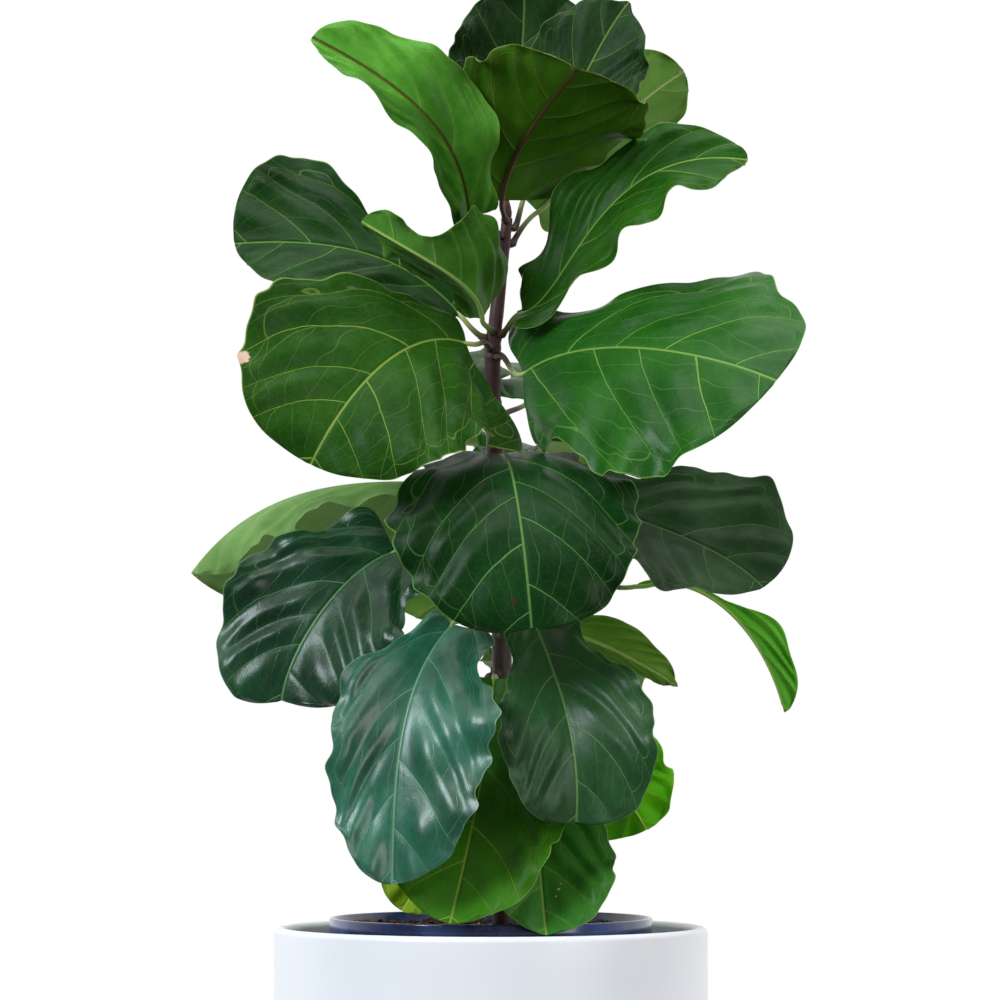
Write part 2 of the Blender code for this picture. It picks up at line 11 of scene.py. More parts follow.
import bmesh
import bpy
import numpy as np
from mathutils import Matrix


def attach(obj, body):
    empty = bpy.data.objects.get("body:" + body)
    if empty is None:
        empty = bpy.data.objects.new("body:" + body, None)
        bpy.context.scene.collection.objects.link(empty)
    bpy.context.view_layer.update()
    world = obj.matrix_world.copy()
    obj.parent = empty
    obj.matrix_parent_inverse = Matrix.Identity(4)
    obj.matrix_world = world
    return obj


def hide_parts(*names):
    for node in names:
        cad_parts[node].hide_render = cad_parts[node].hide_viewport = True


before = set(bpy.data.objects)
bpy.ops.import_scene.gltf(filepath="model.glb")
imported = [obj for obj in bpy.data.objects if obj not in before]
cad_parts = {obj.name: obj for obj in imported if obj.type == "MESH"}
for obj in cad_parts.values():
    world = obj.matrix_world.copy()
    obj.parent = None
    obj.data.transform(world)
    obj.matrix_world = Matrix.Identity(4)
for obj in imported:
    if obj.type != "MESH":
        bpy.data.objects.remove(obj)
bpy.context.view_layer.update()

# %% [markdown]
# ## Camera
# A long lens a little above the rim of the pot, looking slightly up, keeps the tall plant free of
# converging lines. The picture ends just below the rim, so most of the outer pot is out of view.
# A shorter lens would also frame it, but it would swell the nearest leaf.

# %% Camera
RIM_HEIGHT = 0.250
CAMERA_PLACE = (0.0069, -3.6, RIM_HEIGHT + 0.170)
CAMERA_TILT = 92.47
camera_data = bpy.data.cameras.new("camera")
camera_data.lens = 169.6
camera_data.sensor_width = 36.0
camera = bpy.data.objects.new("camera", camera_data)
camera.location = CAMERA_PLACE
camera.rotation_euler = (math.radians(CAMERA_TILT), 0.0, 0.0)
bpy.context.scene.collection.objects.link(camera)
bpy.context.scene.camera = camera
print("camera at", tuple(camera.location))

# %% [markdown]
# ## Light
# A white wall stands behind the plant and a dimmer room in front of it. An even white room would
# reflect in every waxy leaf and turn its greens milky. One broad lamp from the upper left gives
# the leaves their shine. Two weaker ones, at the right and overhead, keep the folds open. The
# Standard view transform keeps the white background clean, where a filmic one would turn it grey.

# %% World and lamps
scene = bpy.context.scene
scene.view_settings.view_transform = "Standard"
scene.view_settings.look = "None"
world = bpy.data.worlds.new("white_room")
scene.world = world
world.use_nodes = True
MIDDLE = np.array([0.0, 0.0, 0.55])
ROOM_DIM, WALL_BRIGHT = 0.16, 1.0


def lamp(name, place, size, watts, colour):
    """A square area lamp that points at the middle of the plant."""
    data = bpy.data.lights.new(name, "AREA")
    data.size = size
    data.energy = watts
    data.color = colour
    made = bpy.data.objects.new(name, data)
    made.location = place
    aim = MIDDLE - np.array(place)
    away = math.hypot(aim[0], aim[1])
    made.rotation_euler = (math.atan2(away, -aim[2]), 0.0, math.atan2(aim[1], aim[0]) - math.pi / 2)
    scene.collection.objects.link(made)
    return made


lamp("window_lamp", (-1.5, -1.5, 1.9), 1.1, 52.0, (0.84, 0.94, 1.0))
lamp("side_lamp", (1.9, -1.9, 0.9), 1.6, 24.0, (1.0, 1.0, 1.0))
lamp("ceiling_lamp", (0.1, -0.3, 2.6), 1.6, 22.0, (1.0, 1.0, 1.0))

# %% [markdown]
# ## Putting a surface into a mesh
# Every piece is one or more grids of points. One helper turns a grid's shape into the corner
# numbers of its quads, and another writes points, faces, finishes and maps into a mesh in one go
# with foreach_set, which is much quicker than adding faces one by one.

# %% Helpers for grids and meshes
def grid_quads(rows, columns, wrap=False):
    """Corner numbers of a grid's quads, row after row. With wrap, the last column joins the first."""
    i, j = np.meshgrid(np.arange(rows - 1), np.arange(columns if wrap else columns - 1), indexing="ij")
    k = (j + 1) % columns
    quads = np.stack([i * columns + j, i * columns + k, (i + 1) * columns + k, (i + 1) * columns + j], -1)
    return quads.reshape(-1, 4)


def fan(centre, ring, flip=False):
    """Triangles from one point to the successive points of a closed ring."""
    a, b = np.asarray(ring), np.roll(ring, -1)
    tris = np.stack([np.full(len(a), centre), a, b], -1)
    return tris[:, ::-1] if flip else tris


def full_turn(steps):
    """Angles of so many equal steps round a circle."""
    return np.arange(steps) * 2.0 * np.pi / steps


def closed_tube(rows, columns):
    """Parts of a stack of rings, closed by two poles whose points follow the last ring."""
    ring = np.arange(columns)
    first, last = rows * columns, rows * columns + 1
    tris = np.concatenate([fan(first, ring, True), fan(last, ring + (rows - 1) * columns)])
    return [(grid_quads(rows, columns, True), 0), (tris, 0)]


def make_piece(name, points, parts, finishes, maps=None, weld=False):
    """One object from points and parts, a list of (faces, finish number). A UV map has a row a corner."""
    mesh = bpy.data.meshes.new(name)
    corners = np.concatenate([f.ravel() for f, _ in parts]).astype(np.int32)
    sizes = np.concatenate([np.full(len(f), f.shape[1]) for f, _ in parts])
    mesh.vertices.add(len(points))
    mesh.vertices.foreach_set("co", np.asarray(points, np.float32).ravel())
    mesh.loops.add(len(corners))
    mesh.loops.foreach_set("vertex_index", corners)
    mesh.polygons.add(len(sizes))
    starts = np.concatenate([[0], np.cumsum(sizes)[:-1]]).astype(np.int32)
    mesh.polygons.foreach_set("loop_start", starts)
    which = np.concatenate([np.full(len(f), m) for f, m in parts]).astype(np.int32)
    mesh.polygons.foreach_set("material_index", which)
    mesh.polygons.foreach_set("use_smooth", np.ones(len(sizes), bool))
    for key, uv in (maps or {}).items():
        layer = mesh.uv_layers.new(name=key)
        layer.uv.foreach_set("vector", np.asarray(uv, np.float32).ravel())
    mesh.update(calc_edges=True)
    if weld:
        shell = bmesh.new()
        shell.from_mesh(mesh)
        bmesh.ops.remove_doubles(shell, verts=shell.verts, dist=1e-6)
        shell.to_mesh(mesh)
        shell.free()
    if mesh.validate():
        print("  repaired", name)
    for finish in finishes:
        mesh.materials.append(finish)
    obj = bpy.data.objects.new(name, mesh)
    scene.collection.objects.link(obj)
    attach(obj, "root")
    return obj


def smooth(lo, hi, x):
    """A smooth step from 0 at lo to 1 at hi."""
    t = np.clip((x - lo) / (hi - lo), 0.0, 1.0)
    return t * t * (3.0 - 2.0 * t)


def unit(v):
    """Vectors scaled to length one."""
    v = np.asarray(v, float)
    return v / np.linalg.norm(v, axis=-1, keepdims=True)


# %% [markdown]
# ## Wiring a finish
# A finish is a small tree of shader nodes. This helper adds a node, sets its settings and joins
# or fills its sockets in order, so that a finish reads like a formula.

# %% Helpers for finishes
def wire(tree, kind, *given, out=0, **settings):
    """Adds a shader node, fills or joins its sockets in order and returns one output socket."""
    node = tree.nodes.new("ShaderNode" + kind)
    for key, value in settings.items():
        setattr(node, key, value)
    for socket, value in zip(node.inputs, given):
        if value is None:
            continue
        if isinstance(value, bpy.types.NodeSocket):
            tree.links.new(value, socket)
        else:
            socket.default_value = value
    return node.outputs[out]


def calc(tree, operation, a, b=None, c=None):
    """One step of arithmetic in a node tree."""
    return wire(tree, "Math", a, b, c, operation=operation)


def ramp(tree, value, lo, hi, start=0.0, end=1.0):
    """A smooth step in a node tree: start at lo, end at hi."""
    return wire(tree, "MapRange", value, lo, hi, start, end, interpolation_type="SMOOTHSTEP")


def blend_colour(tree, share, a, b):
    """Colour a where share is 0 and colour b where it is 1."""
    node = tree.nodes.new("ShaderNodeMix")
    node.data_type = "RGBA"
    for socket, value in ((node.inputs[0], share), (node.inputs[6], a), (node.inputs[7], b)):
        if isinstance(value, bpy.types.NodeSocket):
            tree.links.new(value, socket)
        else:
            socket.default_value = value
    return node.outputs[2]


def noise(tree, where, scale, detail=3.0, rough=0.5):
    """Cloudy noise of so many lumps a metre."""
    node = tree.nodes.new("ShaderNodeTexNoise")
    node.inputs["Scale"].default_value = scale
    node.inputs["Detail"].default_value = detail
    node.inputs["Roughness"].default_value = rough
    tree.links.new(where, node.inputs["Vector"])
    return node.outputs[0]


def new_finish(name):
    """An empty Principled finish: its tree, its shader and the Object coordinates."""
    made = bpy.data.materials.new(name)
    made.use_nodes = True
    tree = made.node_tree
    where = tree.nodes.new("ShaderNodeTexCoord").outputs["Object"]
    return made, tree, tree.nodes["Principled BSDF"], where


def bump(tree, shader, height_mm):
    """Joins a height in millimetres to a shader's normal."""
    node = tree.nodes.new("ShaderNodeBump")
    node.inputs["Distance"].default_value = 0.001
    tree.links.new(height_mm, node.inputs["Height"])
    tree.links.new(node.outputs["Normal"], shader.inputs["Normal"])


def srgb(r, g, b):
    """A colour given as 0 to 255 screen values, made linear."""
    c = np.array([r, g, b]) / 255.0
    c = np.where(c < 0.04045, c / 12.92, ((c + 0.055) / 1.055) ** 2.4)
    return (*[float(k) for k in c], 1.0)


# %% [markdown]
# ## The room's brightness
# The world's brightness is read from the direction of each ray: bright toward +Y, behind the
# plant, and overhead, and dim toward the front and below. What the camera sees directly stays
# white from every side.

# %% World brightness
sky = world.node_tree
direction = wire(sky, "SeparateXYZ", sky.nodes.new("ShaderNodeTexCoord").outputs["Generated"]).node
behind = ramp(sky, direction.outputs[1], -0.35, 0.55)
above = ramp(sky, direction.outputs[2], 0.20, 0.95, 0.0, 0.55)
bright = ramp(sky, calc(sky, "MAXIMUM", behind, above), 0.0, 1.0, ROOM_DIM, WALL_BRIGHT)
seen = sky.nodes.new("ShaderNodeLightPath").outputs["Is Camera Ray"]
sky.links.new(calc(sky, "MAXIMUM", bright, seen), sky.nodes["Background"].inputs["Strength"])
sky.nodes["Background"].inputs["Color"].default_value = (1.0, 1.0, 1.0, 1.0)
print("room from", ROOM_DIM, "to", WALL_BRIGHT)

# %% [markdown]
# ## Floor
# A small pale floor under the pot. It is a stage piece, so it isn't part of the plant.

# %% Floor
FLOOR_SIDE, FLOOR_POINTS = 0.6, 9
paint, tree, shader, where = new_finish("pale_floor")
shade = ramp(tree, noise(tree, where, 2.0), 0.3, 0.7)
pale = blend_colour(tree, shade, srgb(244, 244, 245), srgb(250, 250, 250))
tree.links.new(pale, shader.inputs["Base Color"])
shader.inputs["Roughness"].default_value = 0.6
side = np.linspace(-FLOOR_SIDE / 2, FLOOR_SIDE / 2, FLOOR_POINTS)
fx, fy = np.meshgrid(side, side, indexing="ij")
floor_points = np.stack([fx, fy, np.full(fx.shape, -0.0002)], -1).reshape(-1, 3)
floor_mesh = bpy.data.meshes.new("floor")
floor_mesh.from_pydata(floor_points.tolist(), [], grid_quads(FLOOR_POINTS, FLOOR_POINTS)[:, ::-1].tolist())
floor_mesh.materials.append(paint)
floor = bpy.data.objects.new("floor", floor_mesh)
scene.collection.objects.link(floor)
print("floor side", FLOOR_SIDE)

# %% [markdown]
# ## Outer pot
# The real pot is a slip-cast ceramic cylinder with a softly rounded rim and a satin white glaze.
# It could be a cylinder with a bevel, but a profile turned about the axis gives the rounding its
# true radius, keeps the wall's thickness, and leaves one clean closed skin.

# %% Outer pot
POT_RADIUS, POT_WALL, POT_FLOOR = 0.165, 0.010, 0.012
POT_LIP, POT_FOOT = 0.0045, 0.004


def arc(centre, radius, start, end, steps):
    """Points (radius, height) on an arc from one angle to another, in degrees."""
    turn = np.radians(np.linspace(start, end, steps))
    return np.stack([centre[0] + radius * np.cos(turn), centre[1] + radius * np.sin(turn)], -1)


def turned(profile, sides):
    """A profile (r, z) swept about Z: point = (r cos t, r sin t, z). Its ends, on the axis, become poles."""
    turn = full_turn(sides)
    r, z = profile[1:-1, 0, None], profile[1:-1, 1, None]
    rings = np.stack([r * np.cos(turn), r * np.sin(turn), np.broadcast_to(z, (len(r), sides))], -1)
    poles = np.array([(0.0, 0.0, profile[0, 1]), (0.0, 0.0, profile[-1, 1])])
    return np.concatenate([rings.reshape(-1, 3), poles]), closed_tube(len(rings), sides)


glaze, tree, shader, where = new_finish("satin_white_glaze")
cloud = noise(tree, where, 9.0, 4.0)
white = blend_colour(tree, ramp(tree, cloud, 0.35, 0.65), srgb(240, 242, 248), srgb(243, 244, 249))
specks = noise(tree, where, 420.0, 2.0)
white = blend_colour(tree, ramp(tree, specks, 0.74, 0.80, 0.0, 0.12), white, srgb(222, 221, 222))
tree.links.new(white, shader.inputs["Base Color"])
tree.links.new(ramp(tree, noise(tree, where, 40.0), 0.3, 0.7, 0.30, 0.36), shader.inputs["Roughness"])
shader.inputs["Coat Weight"].default_value = 0.1
shader.inputs["Coat Roughness"].default_value = 0.12
bump(tree, shader, calc(tree, "MULTIPLY", noise(tree, where, 14.0, 1.0), 0.06))

inner = POT_RADIUS - POT_WALL
between = np.linspace(POT_FOOT, RIM_HEIGHT - POT_LIP, 12)[1:-1]
profile = np.concatenate([
    [(0.0, 0.0), (0.05, 0.0), (0.11, 0.0)],
    arc((POT_RADIUS - POT_FOOT, POT_FOOT), POT_FOOT, -90, 0, 9),
    np.stack([np.full(10, POT_RADIUS), between], -1),
    arc((POT_RADIUS - POT_LIP, RIM_HEIGHT - POT_LIP), POT_LIP, 0, 90, 10),
    arc((inner + POT_LIP, RIM_HEIGHT - POT_LIP), POT_LIP, 90, 180, 10),
    np.stack([np.full(10, inner), np.maximum(between[::-1], POT_FLOOR + POT_FOOT + 0.002)], -1),
    arc((inner - POT_FOOT, POT_FLOOR + POT_FOOT), POT_FOOT, 0, -90, 9),
    [(0.10, POT_FLOOR), (0.05, POT_FLOOR), (0.0, POT_FLOOR)],
])
points, parts = turned(profile, 160)
pot = make_piece("white_outer_pot", points, parts, [glaze])
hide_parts("outer_pot")
print("outer pot faces:", len(pot.data.polygons))

# %% [markdown]
# ## Nursery pot
# Inside stands the thin blow-moulded pot that the plant was sold in, in glossy blue-black plastic
# with a band round its rim. Its wall is turned like the outer pot. Its floor has eight drain
# holes, which a turned profile can't have, so each eighth of the floor is a grid that runs from
# the hole's circle out to that sector's edge.

# %% Nursery pot
NURSERY_RIM, NURSERY_BODY, NURSERY_FOOT = 0.123, 0.1195, 0.096
NURSERY_TOP, NURSERY_BAND, NURSERY_WALL, GAP = 0.257, 0.013, 0.0020, 0.0003
DRAIN_HOLES, DRAIN_RADIUS, DRAIN_CIRCLE = 8, 0.006, 0.074
PLATE_INNER = 0.050
EDGE_STEPS = 24

plastic, tree, shader, where = new_finish("blue_black_plastic")
# partly painted highlight: the dark blue is the plastic's own colour, and the lighter blue in cloudy patches
# stands in for light streaks on the glossy rim
tone = ramp(tree, noise(tree, where, 26.0, 3.0), 0.35, 0.7)
tone = blend_colour(tree, tone, srgb(26, 38, 80), srgb(62, 84, 140))
dust = ramp(tree, noise(tree, where, 330.0, 4.0, 0.7), 0.60, 0.72, 0.0, 0.30)
tree.links.new(blend_colour(tree, dust, tone, srgb(110, 108, 112)), shader.inputs["Base Color"])
tree.links.new(ramp(tree, noise(tree, where, 70.0), 0.3, 0.7, 0.10, 0.24), shader.inputs["Roughness"])
shader.inputs["Coat Weight"].default_value = 0.5
shader.inputs["Coat Roughness"].default_value = 0.06
bump(tree, shader, calc(tree, "MULTIPLY", noise(tree, where, 34.0, 2.0), 0.5))

base = POT_FLOOR + GAP
band = NURSERY_TOP - NURSERY_BAND


def floor_plate(height):
    """The holed floor at one height: point = hole circle (1 - k) + sector edge k, for k from 0 to 1."""
    steps, rows = 4 * EDGE_STEPS, 4
    walk = np.arange(steps) / EDGE_STEPS
    across = np.interp(walk, [0, 1, 2, 3, 4], [1, 1, -1, -1, 1])
    around = np.interp(walk, [0, 1, 2, 3, 4], [-1, 1, 1, -1, -1])
    k = np.linspace(0.0, 1.0, rows)[:, None]
    outer = NURSERY_FOOT - 0.003
    r = 0.5 * (outer + PLATE_INNER) + 0.5 * (outer - PLATE_INNER) * across
    a = np.pi / DRAIN_HOLES * around
    edge = np.stack([r * np.cos(a), r * np.sin(a)], -1)
    turn = np.arctan2(around, across)
    hole = np.stack([DRAIN_CIRCLE + DRAIN_RADIUS * np.cos(turn), DRAIN_RADIUS * np.sin(turn)], -1)
    sector = hole * (1 - k[..., None]) + edge * k[..., None]
    spin = 2.0 * np.pi * (np.arange(DRAIN_HOLES) + 0.5) / DRAIN_HOLES
    c, s = np.cos(spin)[:, None, None], np.sin(spin)[:, None, None]
    x = sector[None, ..., 0] * c - sector[None, ..., 1] * s
    y = sector[None, ..., 0] * s + sector[None, ..., 1] * c
    return np.stack([x, y, np.full(x.shape, height)], -1), steps, rows


outside = np.array([
    (NURSERY_FOOT - 0.003, base), (NURSERY_FOOT - 0.0012, base + 0.0006), (NURSERY_FOOT, base + 0.003),
    (NURSERY_BODY - 0.0002, band - 0.004), (NURSERY_BODY, band - 0.001), (NURSERY_RIM - 0.0006, band),
    (NURSERY_RIM, band + 0.0006), (NURSERY_RIM, band + 0.006), (NURSERY_RIM, NURSERY_TOP - 0.0012),
    (NURSERY_RIM - 0.0003, NURSERY_TOP - 0.0003), (NURSERY_RIM - 0.0010, NURSERY_TOP),
    (NURSERY_RIM - NURSERY_WALL, NURSERY_TOP), (NURSERY_RIM - NURSERY_WALL - 0.0006, NURSERY_TOP - 0.0008),
    (NURSERY_BODY - NURSERY_WALL, band - 0.004), (NURSERY_FOOT - NURSERY_WALL, base + NURSERY_WALL + 0.002),
    (NURSERY_FOOT - 0.003, base + NURSERY_WALL),
])
round_steps = DRAIN_HOLES * EDGE_STEPS
turn = full_turn(round_steps)
wall = np.stack([outside[:, :1] * np.cos(turn), outside[:, :1] * np.sin(turn),
                 np.broadcast_to(outside[:, 1:], (len(outside), round_steps))], -1)
pieces = [wall.reshape(-1, 3)]
faces = [grid_quads(len(outside), round_steps, True)]
start = len(pieces[0])
for height, flip in ((base, True), (base + NURSERY_WALL, False)):
    plate, steps, rows = floor_plate(height)
    quads = grid_quads(rows, steps, True)
    for sector in plate:
        faces.append((quads if flip else quads[:, ::-1]) + start)
        pieces.append(sector.reshape(-1, 3))
        start += rows * steps
    centre_ring = np.stack([PLATE_INNER * np.cos(turn), PLATE_INNER * np.sin(turn),
                            np.full(round_steps, height)], -1)
    disc = np.concatenate([centre_ring, centre_ring * [0.5, 0.5, 1.0], [(0.0, 0.0, height)]])
    quads = grid_quads(2, round_steps, True)
    faces.append((quads[:, ::-1] if flip else quads) + start)
    faces.append(fan(2 * round_steps, np.arange(round_steps) + round_steps, flip) + start)
    pieces.append(disc)
    start += len(disc)
holes = np.stack([floor_plate(h)[0][:, 0] for h in (base, base + NURSERY_WALL)], 1)
for hole in holes:
    faces.append(grid_quads(2, 4 * EDGE_STEPS, True)[:, ::-1] + start)
    pieces.append(hole.reshape(-1, 3))
    start += 8 * EDGE_STEPS
nursery = make_piece("nursery_pot_skin", np.concatenate(pieces), [(f, 0) for f in faces], [plastic],
                     weld=True)
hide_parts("nursery_pot")
print("nursery pot faces:", len(nursery.data.polygons))

# %% [markdown]
# ## Soil
# Dark potting mix fills the nursery pot to just under its rim. The ball of soil is a set of
# rings with an uneven top, and the top layer is a scatter of small crooked chips of bark, a few
# of them pale, because a smooth dome with a bumpy finish would still look smooth at its edge.

# %% Soil
SOIL_LEVEL = 0.2490
STEM = np.array([
    (0.0110, 0.0110, 0.2000, 0.0100),
    (0.0110, 0.0110, 0.2580, 0.0096),
    (0.0085, 0.0135, 0.3300, 0.0086),
    (0.0085, 0.0130, 0.4200, 0.0079),
    (0.0080, 0.0125, 0.4900, 0.0074),
    (0.0055, 0.0120, 0.5600, 0.0068),
    (0.0020, 0.0100, 0.6300, 0.0064),
    (0.0010, 0.0080, 0.6900, 0.0060),
    (0.0070, 0.0095, 0.7450, 0.0050),
    (0.0125, 0.0120, 0.7930, 0.0040),
])


def soil_height(x, y):
    """Height of the soil: swells, a heap toward the left, and crumbs a few millimetres across."""
    swell = 0.0016 * np.sin(61.0 * x + 1.0) * np.cos(53.0 * y + 0.6)
    ripple = 0.0010 * np.sin(118.0 * x - 97.0 * y + 2.0)
    heap = 0.0030 * np.exp(-((x + 0.085) ** 2 + (y + 0.02) ** 2) / 0.0012)
    crumbs = (0.0007 * np.sin(700.0 * x + 3.0 * np.sin(400.0 * y))
              * np.sin(640.0 * y + 2.0 * np.sin(520.0 * x)))
    return SOIL_LEVEL + swell + ripple + heap + crumbs


def bark_finish(name, dark, pale):
    """A dry crumbly finish between two browns."""
    made, tree, shader, where = new_finish(name)
    tone = ramp(tree, noise(tree, where, 240.0, 5.0, 0.7), 0.35, 0.68)
    tree.links.new(blend_colour(tree, tone, dark, pale), shader.inputs["Base Color"])
    shader.inputs["Roughness"].default_value = 0.92
    shader.inputs["Specular IOR Level"].default_value = 0.2
    grain = calc(tree, "ADD", calc(tree, "MULTIPLY", noise(tree, where, 520.0, 4.0, 0.7), 0.9),
                 calc(tree, "MULTIPLY", noise(tree, where, 130.0, 2.0), 1.5))
    bump(tree, shader, grain)
    return made


peat = bark_finish("dark_peat", srgb(34, 20, 14), srgb(74, 46, 32))
bark = bark_finish("brown_bark", srgb(52, 30, 20), srgb(104, 68, 46))
pale_chip = bark_finish("pale_chip", srgb(150, 128, 104), srgb(206, 192, 170))

sides = 160
turn = full_turn(sides)
foot = NURSERY_FOOT - NURSERY_WALL
top_body = NURSERY_BODY - NURSERY_WALL
low, high = base + NURSERY_WALL + 0.002, band - 0.004


def soil_reach(z):
    """Inside radius of the nursery pot at one height, less a hair."""
    return foot + (top_body - foot) * np.clip((z - low) / (high - low), 0.0, 1.0) - 0.0006


floor_z = POT_FLOOR + 2.0 * GAP + NURSERY_WALL
rings = [np.stack([r * np.cos(turn), r * np.sin(turn), np.full(sides, z)], -1)
         for r, z in ((0.045, floor_z), (soil_reach(floor_z) - 0.0030, floor_z), (soil_reach(0.017), 0.017),
                      (soil_reach(0.08), 0.08), (soil_reach(0.16), 0.16), (soil_reach(0.236), 0.236))]
reach = soil_reach(0.244)
for share in np.concatenate([[1.0, 0.995], np.linspace(0.98, 0.10, 44), [0.085]]):
    x, y = reach * share * np.cos(turn), reach * share * np.sin(turn)
    x, y = x + STEM[0, 0] * (1 - share), y + STEM[0, 1] * (1 - share)
    rings.append(np.stack([x, y, soil_height(x, y)], -1))
points = np.concatenate(rings + [[(0.0, 0.0, floor_z)], [(STEM[0, 0], STEM[0, 1], SOIL_LEVEL)]])
parts = closed_tube(len(rings), sides)


def chips(rng, number, smallest, largest):
    """Crooked blocks: each is a cube's eight corners, stretched, jostled, turned and laid on the soil."""
    far = 0.108 * np.sqrt(rng.uniform(0.02, 1.0, number))
    way = rng.uniform(0.0, 2.0 * np.pi, number)
    x, y = far * np.cos(way), far * np.sin(way)
    size = rng.uniform(smallest, largest, number)[:, None]
    size = size * rng.uniform((0.6, 0.4, 0.2), (1.3, 0.8, 0.45), (number, 3))
    cube = np.array([(i, j, k) for k in (-1, 1) for i, j in ((-1, -1), (1, -1), (1, 1), (-1, 1))], float)
    corners = cube[None] * rng.uniform(0.65, 1.0, (number, 8, 3)) * size[:, None] / 2
    spin = rng.uniform(0, 2 * np.pi, number)
    lean = rng.normal(0, 0.35, number)
    roll = rng.normal(0, 0.35, number)
    c, s = np.cos(lean)[:, None], np.sin(lean)[:, None]
    px, pz = corners[..., 0] * c - corners[..., 2] * s, corners[..., 0] * s + corners[..., 2] * c
    c, s = np.cos(roll)[:, None], np.sin(roll)[:, None]
    py, pz = corners[..., 1] * c - pz * s, corners[..., 1] * s + pz * c
    c, s = np.cos(spin)[:, None], np.sin(spin)[:, None]
    lift = soil_height(x, y) + 0.12 * size[:, 0]
    return np.stack([px * c - py * s + x[:, None], px * s + py * c + y[:, None], pz + lift[:, None]], -1)


# finish number, how many chips, smallest and largest in metres
CHIPS = ((0, 520, 0.003, 0.007), (1, 420, 0.003, 0.009), (2, 22, 0.002, 0.005))
block = np.array([(0, 3, 2, 1), (4, 5, 6, 7), (0, 1, 5, 4), (1, 2, 6, 5), (2, 3, 7, 6), (3, 0, 4, 7)])
rng = np.random.default_rng(4)
start = len(points)
for finish, number, smallest, largest in CHIPS:
    lumps = chips(rng, number, smallest, largest)
    points = np.concatenate([points, lumps.reshape(-1, 3)])
    parts.append(((block[None] + 8 * np.arange(number)[:, None, None] + start).reshape(-1, 4), finish))
    start += 8 * number
soil = make_piece("potting_soil", points, parts, [peat, bark, pale_chip])
soil.data.set_sharp_from_angle(angle=math.radians(50.0))
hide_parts("soil")
print("soil faces:", len(soil.data.polygons))

# %% [markdown]
# ## Where each leaf stands
# One row a leaf: the height of its joint on the stem, its left and right half widths, four points
# on its midrib, the way its upper side faces at each end, and how it folds. Lengths are in metres
# and angles in degrees. Six leaves at the back fill the side that is out of view.

